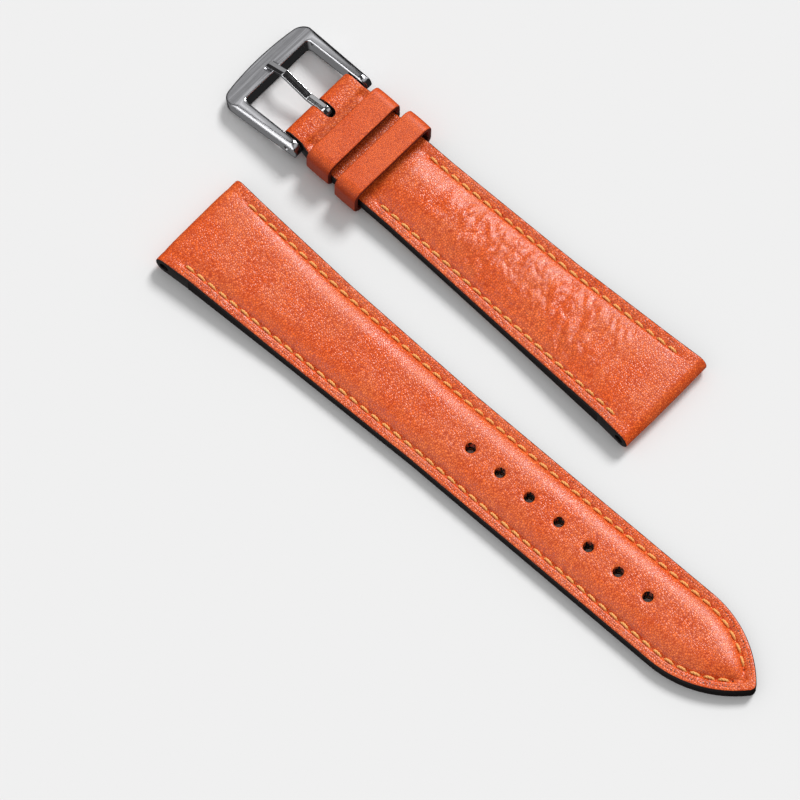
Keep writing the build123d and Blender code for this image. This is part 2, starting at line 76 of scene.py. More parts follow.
@dataclass(frozen=True)
class StrapSizes:
    """Driving dimensions of both halves, in millimetres."""

    lug_width: float = 20.0
    shoulder_x: float = 7.0
    shoulder_width: float = 19.0
    waist_x: float = 28.0
    waist_width: float = 17.5
    taper_x: float = 56.0
    end_width: float = 16.0
    lining: float = 0.9
    core: float = 0.7
    leather: float = 0.8
    padding_rise: float = 1.0
    lug_rise: float = 0.3
    end_rise: float = 0.15
    lug_thickness: float = 3.7
    lug_bore: float = 0.9
    crown_flat_share: float = 0.12
    edge_round: float = 0.32
    under_round: float = 0.25
    seam_inset: float = 1.92
    seam_start: float = 5.0
    groove_half: float = 0.45
    groove_depth: float = 0.3
    crease_insets: tuple[float, ...] = (0.78, 1.2)
    crease_half: float = 0.11
    crease_depth: float = 0.045
    stitch_pitch: float = 2.4
    stitch_length: float = 1.7
    tail_length: float = 125.0
    tip_radius: float = 21.0
    nose_radius: float = 1.2
    hole_radius: float = 0.95
    hole_pitch: float = 6.55
    hole_count: int = 7
    last_hole_setback: float = 23.4
    short_length: float = 80.6
    fold_setback: float = 4.1
    bar_setback: float = 2.3
    keeper_setback: float = 11.5
    pad_fade_setback: float = 14.5
    pad_end_setback: float = 20.5
    fold_width: float = 15.0
    fold_thickness: float = 3.9
    under_keeper: float = 3.0
    fold_bore: float = 0.85
    slot_width: float = 1.9
    slot_depth: float = 4.5
    flap_length: float = 10.0
    keeper_wall: float = 0.9
    keeper_corner: float = 2.0
    fixed_length: float = 5.1
    fixed_height: float = 6.4
    fixed_play: float = 0.02
    keeper_gap: float = 1.9
    free_length: float = 4.8
    free_height: float = 6.6
    free_inner_width: float = 17.2
    free_play: float = 0.05

    @property
    def rim(self) -> float:
        """Thickness of the three layers at the rim."""
        return self.lining + self.core + self.leather

    @property
    def lug_loop(self) -> float:
        """Radius of the loop round the lug bore."""
        return self.lug_thickness / 2

    @property
    def fold_radius(self) -> float:
        """Radius of the fold round the spring bar."""
        return self.fold_thickness / 2

    @property
    def fold_centre(self) -> float:
        """Distance of the fold's centre from the lug end."""
        return self.short_length - self.fold_radius

    @property
    def bar_x(self) -> float:
        """Distance of the spring bar from the lug end."""
        return self.short_length - self.bar_setback

    @property
    def flap_x(self) -> float:
        """Where the flap of the fold ends, from the lug end."""
        return self.short_length - self.flap_length

    @property
    def slot_x(self) -> float:
        """Centre of the slot's round end, from the lug end."""
        return self.short_length - self.slot_depth + self.slot_width / 2

    @property
    def fixed_keeper_x(self) -> float:
        """Near side of the fixed keeper, from the lug end."""
        return self.short_length - self.keeper_setback

    @property
    def free_keeper_x(self) -> float:
        """Near side of the free keeper, from the lug end."""
        return self.fixed_keeper_x - self.keeper_gap - self.free_length


@dataclass(frozen=True)
class Placement:
    """Where a half lies: its lug end's middle on its underside, and its three directions."""

    origin: Vector
    along: Vector
    across: Vector
    up: Vector

    def to_row(self, points: np.ndarray) -> np.ndarray:
        """Turns local millimetres into row metres.

        Args:
            points: An array of local points, one per row.

        Returns:
            The same points in the row frame.
        """
        axes = np.array([self.along, self.across, self.up])
        return np.array(self.origin) + points @ axes * MM


def tail_placement(sizes: StrapSizes) -> Placement:
    """Reads the tail half's place from the bore through its lug end.

    Args:
        sizes: The strap's driving dimensions.

    Returns:
        The tail half's placement.
    """
    bore = mount("tail_lug_bore")
    across = -Vector(bore["axis"]).normalized()
    up = Vector((0, 0, 1))
    along = across.cross(up).normalized()
    origin = Vector(bore["pos_m"]) - (along + up) * sizes.lug_loop * MM
    return Placement(origin, along, across, up)


def short_placement(sizes: StrapSizes) -> Placement:
    """Reads the short half's place from its lug bore and the way its free keeper slides.

    Args:
        sizes: The strap's driving dimensions.

    Returns:
        The short half's placement.
    """
    bore = mount("short_lug_bore")
    along = -Vector(joint("keeper_slide")["axis"]).normalized()
    across = -Vector(bore["axis"]).normalized()
    up = along.cross(across)
    origin = Vector(bore["pos_m"]) - (along + up) * sizes.lug_loop * MM
    return Placement(origin, along, across, up)


# Meshes


@dataclass
class Shell:
    """Collects points and faces of one piece, with a paint mask, and makes a clean mesh of them."""

    points: list[np.ndarray] = field(default_factory=list)
    masks: list[np.ndarray] = field(default_factory=list)
    faces: Faces = field(default_factory=list)
    count: int = 0
    weld: float = 2e-3
    sharp_degrees: float = 42.0

    def add(self, points: np.ndarray, faces: Faces, paint: np.ndarray | float) -> None:
        """Adds a patch.

        Args:
            points: Local points, one per row.
            faces: Faces by index into the points.
            paint: Edge paint per point, 0 for bare leather and 1 for painted.
        """
        self.points.append(np.asarray(points, float))
        self.masks.append(np.broadcast_to(np.asarray(paint, float), (len(points),)).copy())
        self.faces += [tuple(i + self.count for i in face) for face in faces]
        self.count += len(points)

    def grid(self, rows: np.ndarray, paint: np.ndarray | float, closed: bool = False) -> None:
        """Adds a patch of quads.

        Args:
            rows: Points as rows by columns by 3.
            paint: Edge paint, as rows by columns.
            closed: Whether the last column joins the first.
        """
        n, m = rows.shape[:2]
        faces = []
        for i in range(n - 1):
            for j in range(m if closed else m - 1):
                k = (j + 1) % m
                faces.append((i * m + j, i * m + k, (i + 1) * m + k, (i + 1) * m + j))
        flat_paint = np.broadcast_to(paint, (n, m)).reshape(-1)
        self.add(rows.reshape(-1, 3), faces, flat_paint)

    def build(self, name: str, place: Placement, material: bpy.types.Material) -> bpy.types.Object:
        """Makes the object.

        Args:
            name: The piece's name.
            place: Where the local points lie.
            material: The piece's finish.

        Returns:
            The new object, in the row frame.
        """
        mesh = bpy.data.meshes.new(name)
        points = place.to_row(np.concatenate(self.points))
        mesh.from_pydata(points.tolist(), [], self.faces)
        mask = mesh.attributes.new("paint", "FLOAT", "POINT")
        mask.data.foreach_set("value", np.concatenate(self.masks).astype(np.float32))
        body = bmesh.new()
        body.from_mesh(mesh)
        bmesh.ops.remove_doubles(body, verts=body.verts, dist=self.weld * MM)
        bmesh.ops.recalc_face_normals(body, faces=body.faces)
        open_edges = sum(1 for edge in body.edges if not edge.is_manifold)
        body.to_mesh(mesh)
        body.free()
        mesh.shade_smooth()
        mesh.set_sharp_from_angle(angle=math.radians(self.sharp_degrees))
        mesh.materials.append(material)
        piece = bpy.data.objects.new(name, mesh)
        bpy.context.scene.collection.objects.link(piece)
        LOG.info("%s: %d points, %d open edges", name, len(mesh.vertices), open_edges)
        return piece


def triangulate(
    loops: list[np.ndarray], inner: np.ndarray, holes: list[Hole]
) -> tuple[np.ndarray, Faces]:
    """Fills closed loops with triangles that use the given inner points.

    Args:
        loops: Closed outlines in the plane, the first the outer one.
        inner: Points inside, one per row.
        holes: Round holes as (x, y, radius); triangles inside them are left out.

    Returns:
        The plane points and the triangles.
    """
    closeness, rim_share = 1e-5, 0.99
    points, edges = [], []
    for loop in loops:
        start = len(points)
        points += [Vector(p) for p in loop]
        edges += [(start + i, start + (i + 1) % len(loop)) for i in range(len(loop))]
    points += [Vector(p) for p in inner]
    found = delaunay_2d_cdt(points, edges, [], 1, closeness)
    flat = np.array([tuple(v) for v in found[0]])
    faces = [tuple(face) for face in found[2]]
    if holes:
        middles = np.array([flat[list(face)].mean(0) for face in faces])
        keep = np.ones(len(faces), bool)
        for x, y, radius in holes:
            keep &= np.hypot(middles[:, 0] - x, middles[:, 1] - y) > radius * rim_share
        faces = [face for face, kept in zip(faces, keep) if kept]
    return flat, faces


def circle(x: float, y: float, radius: float) -> np.ndarray:
    """Points round a circle in the plane.

    Args:
        x: Its middle's first coordinate.
        y: Its middle's second coordinate.
        radius: Its radius.

    Returns:
        The points, one per row.
    """
    count = 32
    turn = np.linspace(0, 2 * math.pi, count, endpoint=False)
    return np.stack([x + radius * np.cos(turn), y + radius * np.sin(turn)], 1)


def smooth_min(a: np.ndarray, b: np.ndarray, blend: float) -> np.ndarray:
    """The smaller of two distances, with the crease between them rounded."""
    mixed = np.clip(blend - np.abs(a - b), 0, None) / blend
    return np.minimum(a, b) - mixed**2 * blend / 4


def waves(points: np.ndarray, scale: float, seed: float) -> np.ndarray:
    """Soft noise from -1 to 1 at plane points, by a size in millimetres."""
    return np.array([noise.noise(Vector((x / scale, y / scale, seed))) for x, y in points])


# The form of a half


# How widely the distances from both edges are blended, in millimetres
ROUNDED, SHARP = 1.6, 1e-6
# Slack where two lengths are compared
TINY = 1e-6


@dataclass(frozen=True)
class Relief:
    """Fine relief of the top leather, in millimetres where it isn't a share.

    Each hill is its rise, its size and how far its seed lies from the form's.
    """

    crown_start_share: float = 0.6
    puff: float = 0.02
    puff_start: float = 0.25
    puff_width: float = 1.35
    channel_share: float = 1.15
    channel_half: float = 0.36
    pull_share: float = 0.78
    pull_swing_share: float = 0.3
    seam_lead: float = 1.2
    seam_trail: float = 0.6
    seam_fade: float = 1.4
    needle_depth: float = 0.2
    needle_reach: float = 0.2
    needle_spread_share: float = 1.1
    # Painted shade in the needle holes and darkening of the creased lines, both in the edge paint's
    # colour.
    needle_shade_reach: float = 0.19
    needle_shade_share: float = 0.9
    crease_line_darkening: float = 0.65
    settle: float = 2.0
    hills: tuple[tuple[float, float, float], ...] = ((0.03, 7.0, 0.0), (0.012, 2.2, 5.0))
    hole_dip: float = 0.2
    hole_dip_reach: float = 0.55


@dataclass
class HalfForm:
    """Plan and heights of one half, by distance x from its lug end and y from its middle."""

    sizes: StrapSizes
    length: float
    widths: list[tuple[float, float]]
    rims: list[tuple[float, float]]
    rises: list[tuple[float, float]]
    seam_end: float = 0.0
    holes: list[Hole] = field(default_factory=list)
    seed: float = 0.0
    fullness: float = 3.1
    relief: Relief = Relief()

    def half_width(self, x: np.ndarray) -> np.ndarray:
        """Half of the width at a distance from the lug end."""
        xs, ws = zip(*self.widths)
        return np.interp(x, xs, ws) / 2

    def rim(self, x: np.ndarray) -> np.ndarray:
        """Height of the flat rim."""
        xs, zs = zip(*self.rims)
        return np.interp(x, xs, zs)

    def layer_top(self, x: np.ndarray) -> np.ndarray:
        """Height at which the layers below the top leather end."""
        return self.rim(x) - self.sizes.leather

    def rise(self, x: np.ndarray) -> np.ndarray:
        """Rise of the padded crown over the rim."""
        xs, zs = zip(*self.rises)
        return np.interp(x, xs, zs)

    def stops(self, start: float, end: float, step: float) -> np.ndarray:
        """Distances from the lug end that meet every corner of the plan.

        Args:
            start: The first distance.
            end: Where they end.
            step: About how far apart they are.

        Returns:
            The distances, without the end.
        """
        corners = [start] + [x for x, _ in self.widths if start < x < end] + [end]
        line: list[float] = []
        for near, far in zip(corners, corners[1:]):
            count = max(int(round((far - near) / step)), 1)
            line += list(np.linspace(near, far, count, endpoint=False))
        return np.array(line)

    def upper_line(self, inset: float, step: float, start: float) -> np.ndarray:
        """The edge of the half for y over 0, drawn in by an inset.

        Args:
            inset: How far inside the edge the line runs.
            step: About how far apart its points are.
            start: Where it starts, from the lug end.

        Returns:
            Plane points, one per row.
        """
        x = np.append(self.stops(start, self.length, step), self.length)
        return np.stack([x, self.half_width(x) - inset], 1)

    def depth(self, x: np.ndarray, y: np.ndarray, blend: float = ROUNDED) -> np.ndarray:
        """Distance to the nearest edge, rounded in the corners by a blend."""
        half = self.half_width(x)
        return smooth_min(half - y, half + y, blend)

    def seam_distance(self, x: np.ndarray, y: np.ndarray) -> np.ndarray:
        """Distance along the seam from the lug end."""
        return x

    def seam_point(self, distance: float, side: int) -> np.ndarray:
        """A point on the seam.

        Args:
            distance: Distance along the seam from the lug end.
            side: 1 or -1, for the edge that it follows.

        Returns:
            The plane point.
        """
        y = float(self.half_width(distance)) - self.sizes.seam_inset
        return np.array([distance, side * y])

    def seam_length(self) -> float:
        """Length of one seam."""
        return self.seam_end

    def stitch_starts(self) -> list[float]:
        """Where each stitch begins.

        Returns:
            Distances along the seam.
        """
        s, clear = self.sizes, 0.5
        room = self.seam_length() - s.seam_start - s.stitch_length - clear
        return [s.seam_start + i * s.stitch_pitch for i in range(int(room / s.stitch_pitch) + 1)]

    def rounding(self, depth: np.ndarray, radius: float) -> np.ndarray:
        """How far a rounded edge falls, by distance from the edge."""
        reach = np.clip(radius - depth, 0, radius)
        return radius - np.sqrt(np.clip(radius**2 - reach**2, 0, None))

    def sewn(self, along: np.ndarray) -> np.ndarray:
        """1 where the edge is sewn, fading to 0 beyond the seam's ends.

        Args:
            along: Distances along the seam.

        Returns:
            The share at each point.
        """
        r = self.relief
        begun = np.clip((along - self.sizes.seam_start + r.seam_lead) / r.seam_fade, 0, 1)
        return begun * np.clip((self.seam_length() + r.seam_trail - along) / r.seam_fade, 0, 1)

    def needle_holes(self, along: np.ndarray, depth: np.ndarray, reach: float) -> np.ndarray:
        """1 in the middle of each needle hole of the seam, fading to 0.

        Args:
            along: Distances along the seam.
            depth: Distances from the edge.
            reach: How wide a hole is felt.

        Returns:
            The share at each point.
        """
        s = self.sizes
        phase = (along - s.seam_start) % s.stitch_pitch
        first = np.minimum(phase, s.stitch_pitch - phase)
        second = np.abs(phase - s.stitch_length)
        found = np.exp(-((first / reach) ** 2)) + np.exp(-((second / reach) ** 2))
        spread = reach * self.relief.needle_spread_share
        return found * np.exp(-(((depth - s.seam_inset) / spread) ** 2))

    def creased_lines(self, depth: np.ndarray) -> np.ndarray:
        """1 on the fine lines creased along the rim, fading to 0 beside them."""
        half, insets = self.sizes.crease_half, self.sizes.crease_insets
        return sum(np.exp(-(((depth - inset) / half) ** 2)) for inset in insets)

    def needle_shade_and_dark_lines(self, x: np.ndarray, y: np.ndarray) -> np.ndarray:
        """Painted shade in the needle holes, and the creased lines darkened, both in the edge paint's
        colour.

        Args:
            x: Distances from the lug end.
            y: Distances from the middle.

        Returns:
            The paint at each point, from 0 to 1.
        """
        r = self.relief
        depth, along = self.depth(x, y, SHARP), self.seam_distance(x, y)
        # Painted shade in the needle holes.
        needle_shade = r.needle_shade_share * self.needle_holes(along, depth, r.needle_shade_reach)
        lines = r.crease_line_darkening * self.creased_lines(depth)
        return self.sewn(along) * np.maximum(needle_shade, lines)

    def seam_relief(self, x: np.ndarray, y: np.ndarray, plain: np.ndarray) -> np.ndarray:
        """How far the seam and the creased lines draw the leather down.

        Args:
            x: Distances from the lug end.
            y: Distances from the middle.
            plain: Distances from the edge.

        Returns:
            The depth at each point.
        """
        s, r = self.sizes, self.relief
        along = self.seam_distance(x, y)
        phase = (along - s.seam_start) % s.stitch_pitch
        gap_middle = (s.stitch_length + s.stitch_pitch) / 2
        swing = np.cos((phase - gap_middle) / s.stitch_pitch * 2 * math.pi)
        pull = r.pull_share + r.pull_swing_share * swing
        groove = np.exp(-(((plain - s.seam_inset) / r.channel_half) ** 2))
        channel = r.channel_share * s.groove_depth * pull * groove
        needle = r.needle_depth * self.needle_holes(along, plain, r.needle_reach)
        lines = s.crease_depth * self.creased_lines(plain)
        return self.sewn(along) * (channel + needle + lines)

    def height(self, x: np.ndarray, y: np.ndarray) -> np.ndarray:
        """Height of the top leather: rim, crown, seam, wrinkles and pressed hole rims.

        Args:
            x: Distances from the lug end.
            y: Distances from the middle.

        Returns:
            The height at each point.
        """
        s, r = self.sizes, self.relief
        plain, soft = self.depth(x, y, SHARP), self.depth(x, y)
        run = s.end_width / 2 * (1 - s.crown_flat_share) - s.seam_inset - s.groove_half
        start = s.seam_inset + s.groove_half * r.crown_start_share
        share = np.clip((soft - start) / run, 0, 1)
        crown = self.rise(x) * (1 - (1 - share) ** self.fullness)
        puff = r.puff * np.sin(np.clip((plain - r.puff_start) / r.puff_width, 0, 1) * math.pi)
        flat = np.stack([x, y], 1)
        uneven = sum(rise * waves(flat, size, self.seed + shift) for rise, size, shift in r.hills)
        top = self.rim(x) + crown + puff - self.seam_relief(x, y, plain)
        top += np.clip(plain / r.settle, 0, 1) * uneven
        for hole_x, hole_y, radius in self.holes:
            away = np.hypot(x - hole_x, y - hole_y) - radius
            top -= r.hole_dip * np.clip(1 - away / r.hole_dip_reach, 0, 1) ** 2
        return top + self.wrinkles(flat) - self.rounding(plain, s.edge_round)

    def wrinkles(self, flat: np.ndarray) -> np.ndarray:
        """Creases of this half alone."""
        return np.zeros(len(flat))


@dataclass
class TailForm(HalfForm):
    """The tail half, whose sides end in a pointed tip of two arcs."""

    arc_step: float = 0.5
    nose_points: int = 9

    @property
    def tip_start(self) -> float:
        """Where the sides turn into the tip's arcs."""
        reach = math.sqrt((self.sizes.tip_radius - self.sizes.nose_radius) ** 2 - self.arc_y**2)
        return self.length - self.sizes.nose_radius - reach

    @property
    def arc_y(self) -> float:
        """How far each arc's centre lies beyond the middle line."""
        return self.sizes.tip_radius - self.sizes.end_width / 2

    def upper_line(self, inset: float, step: float, start: float) -> np.ndarray:
        """The edge for y over 0, with the tip's arc and, near the edge, half of the nose.

        Args:
            inset: How far inside the edge the line runs.
            step: About how far apart its points are.
            start: Where it starts, from the lug end.

        Returns:
            Plane points, one per row.
        """
        s = self.sizes
        x = self.stops(start, self.tip_start, step)
        sides = np.stack([x, self.half_width(x) - inset], 1)
        radius = s.tip_radius - inset
        rounded = inset < s.nose_radius
        end = math.acos(self.arc_y / (s.tip_radius - s.nose_radius if rounded else radius))
        count = max(int(radius * end / min(step, self.arc_step)), 2)
        turn = np.linspace(0, end, count)
        along, away = radius * np.sin(turn), radius * np.cos(turn)
        arc = np.stack([self.tip_start + along, away - self.arc_y], 1)
        if not rounded:
            return np.concatenate([sides, arc])
        nose = s.nose_radius - inset
        turn = np.linspace(end, math.pi / 2, self.nose_points)[1:]
        nose_x = self.length - s.nose_radius
        cap = np.stack([nose_x + nose * np.sin(turn), nose * np.cos(turn)], 1)
        return np.concatenate([sides, arc, cap])

    def depth(self, x: np.ndarray, y: np.ndarray, blend: float = ROUNDED) -> np.ndarray:
        """Distance to the nearest edge, with the tip's arcs and nose.

        Args:
            x: Distances from the lug end.
            y: Distances from the middle.
            blend: How wide the corners are rounded.

        Returns:
            The distance at each point.
        """
        s = self.sizes
        half = self.half_width(x)
        beyond = x > self.tip_start
        run = np.where(beyond, x - self.tip_start, 0)
        upper = np.where(beyond, s.tip_radius - np.hypot(run, y + self.arc_y), half - y)
        lower = np.where(beyond, s.tip_radius - np.hypot(run, self.arc_y - y), half + y)
        found = smooth_min(upper, lower, blend)
        nose_x = self.length - s.nose_radius
        end = math.acos(self.arc_y / (s.tip_radius - s.nose_radius))
        turn = np.arctan2(x - nose_x, np.abs(y))
        nose = s.nose_radius - np.hypot(x - nose_x, y)
        return np.where((turn > end) & (x > nose_x), nose, found)

    def seam_distance(self, x: np.ndarray, y: np.ndarray) -> np.ndarray:
        """Distance along the seam, which follows the tip's arcs.

        Args:
            x: Distances from the lug end.
            y: Distances from the middle.

        Returns:
            The distance along the seam at each point.
        """
        turn = np.arctan2(x - self.tip_start, np.abs(y) + self.arc_y)
        radius = self.sizes.tip_radius - self.sizes.seam_inset
        return np.where(x > self.tip_start, self.tip_start + radius * turn, x)

    def seam_point(self, distance: float, side: int) -> np.ndarray:
        """A point on the seam, also where it follows the tip.

        Args:
            distance: Distance along the seam from the lug end.
            side: 1 or -1, for the edge that it follows.

        Returns:
            The plane point.
        """
        if distance <= self.tip_start:
            return super().seam_point(distance, side)
        radius = self.sizes.tip_radius - self.sizes.seam_inset
        turn = (distance - self.tip_start) / radius
        y = side * (radius * math.cos(turn) - self.arc_y)
        return np.array([self.tip_start + radius * math.sin(turn), y])

    def seam_length(self) -> float:
        """Length of one seam, up to the tip."""
        radius = self.sizes.tip_radius - self.sizes.seam_inset
        return self.tip_start + radius * math.acos(self.arc_y / radius)


@dataclass(frozen=True)
class Wrinkles:
    """Creases of the short half, in millimetres where they aren't shares."""

    start: float = 8.0
    start_fade: float = 10.0
    end: float = 58.0
    end_fade: float = 14.0
    rim: float = 2.6
    rim_fade: float = 1.5
    slant_share: float = 0.25
    warp_size: float = 5.0
    swell_size: float = 1.6
    swell_warp: float = 1.6
    swell_stretch_share: float = 0.42
    swell_depth: float = 0.30
    line_size: float = 1.5
    line_warp: float = 1.2
    line_squeeze_share: float = 1.2
    line_stretch_share: float = 0.6
    line_half_share: float = 0.18
    line_depth: float = 0.13
    seeds: tuple[float, float, float] = (31.0, 40.0, 50.0)
    fold_setback: float = 5.1
    tuck_y: float = 6.2
    tuck_half: float = 0.8
    tuck_depth: float = 0.38
    dish_shift: float = 0.4
    dish_half: float = 1.4
    dish_depth: float = 0.16


@dataclass
class ShortForm(HalfForm):
    """The short half, which ends in the fold round the spring bar."""

    creases: Wrinkles = Wrinkles()

    def wrinkles(self, flat: np.ndarray) -> np.ndarray:
        """Swells and creased lines over the padding, and the tucks and dish before the fold.

        Args:
            flat: Plane points, one per row.

        Returns:
            What they add to the height at each point.
        """
        w = self.creases
        warp_seed, swell_seed, line_seed = w.seeds
        x, y = flat.T
        inner = np.clip((self.depth(x, y) - w.rim) / w.rim_fade, 0, 1)
        zone = np.clip((x - w.start) / w.start_fade, 0, 1)
        zone *= np.clip((w.end - x) / w.end_fade, 0, 1)
        slant = x + w.slant_share * y
        warp = waves(flat, w.warp_size, warp_seed)
        swells = np.stack([slant + w.swell_warp * warp, y * w.swell_stretch_share], 1)
        swell = waves(swells, w.swell_size, swell_seed)
        ridges = slant * w.line_squeeze_share + w.line_warp * warp
        lines = np.stack([ridges, y * w.line_stretch_share], 1)
        fine = np.abs(waves(lines, w.line_size, line_seed))
        crease = w.swell_depth * swell - w.line_depth * np.exp(-((fine / w.line_half_share) ** 2))
        run = x - (self.sizes.short_length - w.fold_setback)
        side = (np.abs(y) - w.tuck_y) / w.tuck_half
        tuck = np.exp(-((run / w.tuck_half) ** 2) - side**2)
        dish = np.exp(-(((run - w.dish_shift) / w.dish_half) ** 2))
        return inner * zone * crease - w.tuck_depth * tuck - w.dish_depth * dish


# Leather pieces


# Rows along the edge, each with its inset and the step between its points
DENSE_INSETS = (
    (0.035, 0.6), (0.11, 0.6), (0.21, 0.6), (0.32, 0.6), (0.42, 0.6), (0.62, 0.6), (0.7, 0.5),
    (0.78, 0.4), (0.86, 0.5), (1.0, 0.5), (1.12, 0.4), (1.2, 0.35), (1.28, 0.35), (1.37, 0.3),
    (1.53, 0.2), (1.65, 0.16), (1.75, 0.14), (1.84, 0.14), (1.92, 0.14), (2.0, 0.14),
    (2.09, 0.14), (2.19, 0.16), (2.31, 0.2), (2.47, 0.3), (2.7, 0.35), (2.95, 0.4),
)


@dataclass
class TopLeather:
    """The top leather of a half with its padding under it, wrapped round the lug end."""

    name: str
    form: HalfForm
    place: Placement
    folded: bool = False
    edge_step: float = 0.5
    grid_step: float = 0.34
    grid_half: float = 8.5
    grid_depth: float = 3.2
    grid_start: float = 0.4
    grid_end: float = 0.2
    least_depth: float = 0.02
    rim_rings: tuple[float, ...] = (0.04, 0.1, 0.18, 0.28, 0.4, 0.55)
    rim_clear: float = 0.62
    slot_rows: tuple[float, ...] = (0.06, 0.14, 0.26, 0.45)
    slot_steps: int = 4
    slot_back_clear: float = 0.55
    slot_side_clear: float = 0.5
    slot_lip: float = 0.05
    mouth_clear: float = 0.1
    loop_steps: int = 24
    flap_steps: int = 5
    under_step: float = 0.8
    under_half: float = 6.6
    under_start: float = 0.6
    under_end: float = 0.3
    under_side_clear: float = 0.2
    under_back_clear: float = 2.6
    under_insets: tuple[float, ...] = (0.05, 0.15, 0.25)
    rib_start: float = 9.0
    rib_end: float = 6.0
    rib_step: float = 3.0
    rib_rows: tuple[float, ...] = (-5.0, -2.5, 0.0, 2.5, 5.0)
    rib_clear: float = 0.3
    paint_reach: float = 0.3

    def columns(self, half: float, inner: float = 0.0) -> np.ndarray:
        """Distances from the middle at which rows have points, from the edge inwards.

        Args:
            half: Half of the width there.
            inner: Where they end, which is beside the slot if it isn't the middle.

        Returns:
            The distances.
        """
        clear, step = 0.3, 0.45
        insets = [0.0] + [inset for inset, _ in DENSE_INSETS]
        outer = [half - inset for inset in insets if half - inset > inner + clear]
        count = max(int((outer[-1] - inner) / step), 1)
        rest = list(np.linspace(outer[-1], inner, count + 1)[1:])
        if inner:
            rest.insert(-1, inner + self.slot_lip)
        return np.array(outer + rest)

    def across_line(self, half: float) -> np.ndarray:
        """Points across the half, from one edge to the other."""
        side = self.columns(half)
        return np.concatenate([side, -side[::-1][1:]])

    def slot_path(self) -> np.ndarray:
        """Path round the tongue's slot, from one end of its mouth to the other.

        Returns:
            Plane points, one per row.
        """
        s, steps = self.form.sizes, self.slot_steps
        radius = s.slot_width / 2
        straight = np.linspace(s.fold_centre, s.slot_x, steps + 1)[:-1]
        turn = np.linspace(math.pi / 2, 3 * math.pi / 2, 15)
        bend = np.stack([s.slot_x + radius * np.cos(turn), radius * np.sin(turn)], 1)
        near = np.stack([straight, np.full(steps, radius)], 1)
        return np.concatenate([near, bend, near[::-1] * (1, -1)])

    def slot_rings(self) -> list[np.ndarray]:
        """Points beside the slot's path, so that its rim stays crisp.

        Returns:
            Plane points of each row beside the path.
        """
        s = self.form.sizes
        path = self.slot_path()
        way = np.gradient(path, axis=0)
        away = np.stack([way[:, 1], -way[:, 0]], 1) / np.linalg.norm(way, axis=1)[:, None]
        outward = np.sign(((path - (s.slot_x, 0.0)) * away).sum(1).mean())
        rings = [path + outward * away * gap for gap in self.slot_rows]
        return [ring[ring[:, 0] < s.fold_centre - self.mouth_clear] for ring in rings]

    def outline(self, start: float, stop: float) -> np.ndarray:
        """The upper edge of the half in plan.

        Args:
            start: Where it starts, from the lug end.
            stop: Where it ends.

        Returns:
            Plane points, one per row.
        """
        line = self.form.upper_line(0.0, self.edge_step, self.form.sizes.lug_loop)
        return line[(line[:, 0] > start - TINY) & (line[:, 0] < stop + TINY)]

    def mouth(self) -> np.ndarray:
        """Line across the fold's top, from edge to edge, round the slot.

        Returns:
            Plane points, one per row.
        """
        s = self.form.sizes
        side = self.columns(s.fold_width / 2, s.slot_width / 2)[1:-1]
        upper = np.stack([np.full(len(side), s.fold_centre), side], 1)
        return np.concatenate([upper, self.slot_path(), upper[::-1] * (1, -1)])

    def top_loop(self) -> np.ndarray:
        """Closed outline of the top sheet.

        Returns:
            Plane points, one per row.
        """
        s = self.form.sizes
        upper = self.form.upper_line(0.0, self.edge_step, s.lug_loop)
        lower = upper[::-1] * (1, -1)
        start = self.across_line(float(self.form.half_width(s.lug_loop)))[::-1]
        first = np.stack([np.full(len(start), s.lug_loop), start], 1)[1:-1]
        if self.folded:
            return np.concatenate([upper, self.mouth(), lower, first])
        return np.concatenate([upper, lower[1:], first])

    def inner_points(self) -> np.ndarray:
        """Points inside the top sheet: dense along the seams and rims, even in the middle.

        Returns:
            Plane points, one per row.
        """
        form, s = self.form, self.form.sizes
        found = []
        for inset, step in DENSE_INSETS:
            line = form.upper_line(inset, step, s.lug_loop)[1:]
            if self.folded:
                line = line[:-1]
            found += [line, line * (1, -1)]
        xs = np.arange(s.lug_loop + self.grid_start, form.length, self.grid_step)
        ys = np.arange(-self.grid_half, self.grid_half + TINY, self.grid_step)
        gx, gy = np.meshgrid(xs, ys)
        gx = gx + (np.arange(len(ys)) % 2 * self.grid_step / 2)[:, None]
        grid = np.stack([gx.ravel(), gy.ravel()], 1)
        deep = form.depth(*grid.T, SHARP) > self.grid_depth
        found.append(grid[deep & (grid[:, 0] < form.length - self.grid_end)])
        points = np.concatenate(found)
        points = points[form.depth(*points.T, SHARP) > self.least_depth]
        for x, y, radius in form.holes:
            points = points[np.hypot(points[:, 0] - x, points[:, 1] - y) > radius + self.rim_clear]
        for x, y, radius in form.holes:
            points = np.concatenate([points, *(circle(x, y, radius + out) for out in self.rim_rings)])
        if self.folded:
            clear = points[:, 0] < s.short_length - s.slot_depth - self.slot_back_clear
            clear |= np.abs(points[:, 1]) > s.slot_width / 2 + self.slot_side_clear
            points = np.concatenate([points[clear], *self.slot_rings()])
        return points

    def paint(self, depth: np.ndarray) -> np.ndarray:
        """Edge paint by distance from the edge."""
        return np.clip(1 - depth / self.paint_reach, 0, 1)

    def sheet(self, shell: Shell) -> None:
        """The whole upper surface, from the lug loop to the tip or the fold.

        Args:
            shell: The piece.
        """
        form = self.form
        loops = [self.top_loop()] + [circle(*hole) for hole in form.holes]
        flat, faces = triangulate(loops, self.inner_points(), form.holes)
        if self.folded:
            faces = self.without_slot(flat, faces)
        x, y = flat.T
        # Besides the edge paint: painted shade in the needle holes and darker creased lines.
        paint = np.maximum(self.paint(form.depth(x, y, SHARP)), form.needle_shade_and_dark_lines(x, y))
        shell.add(np.stack([x, y, form.height(x, y)], 1), faces, paint)

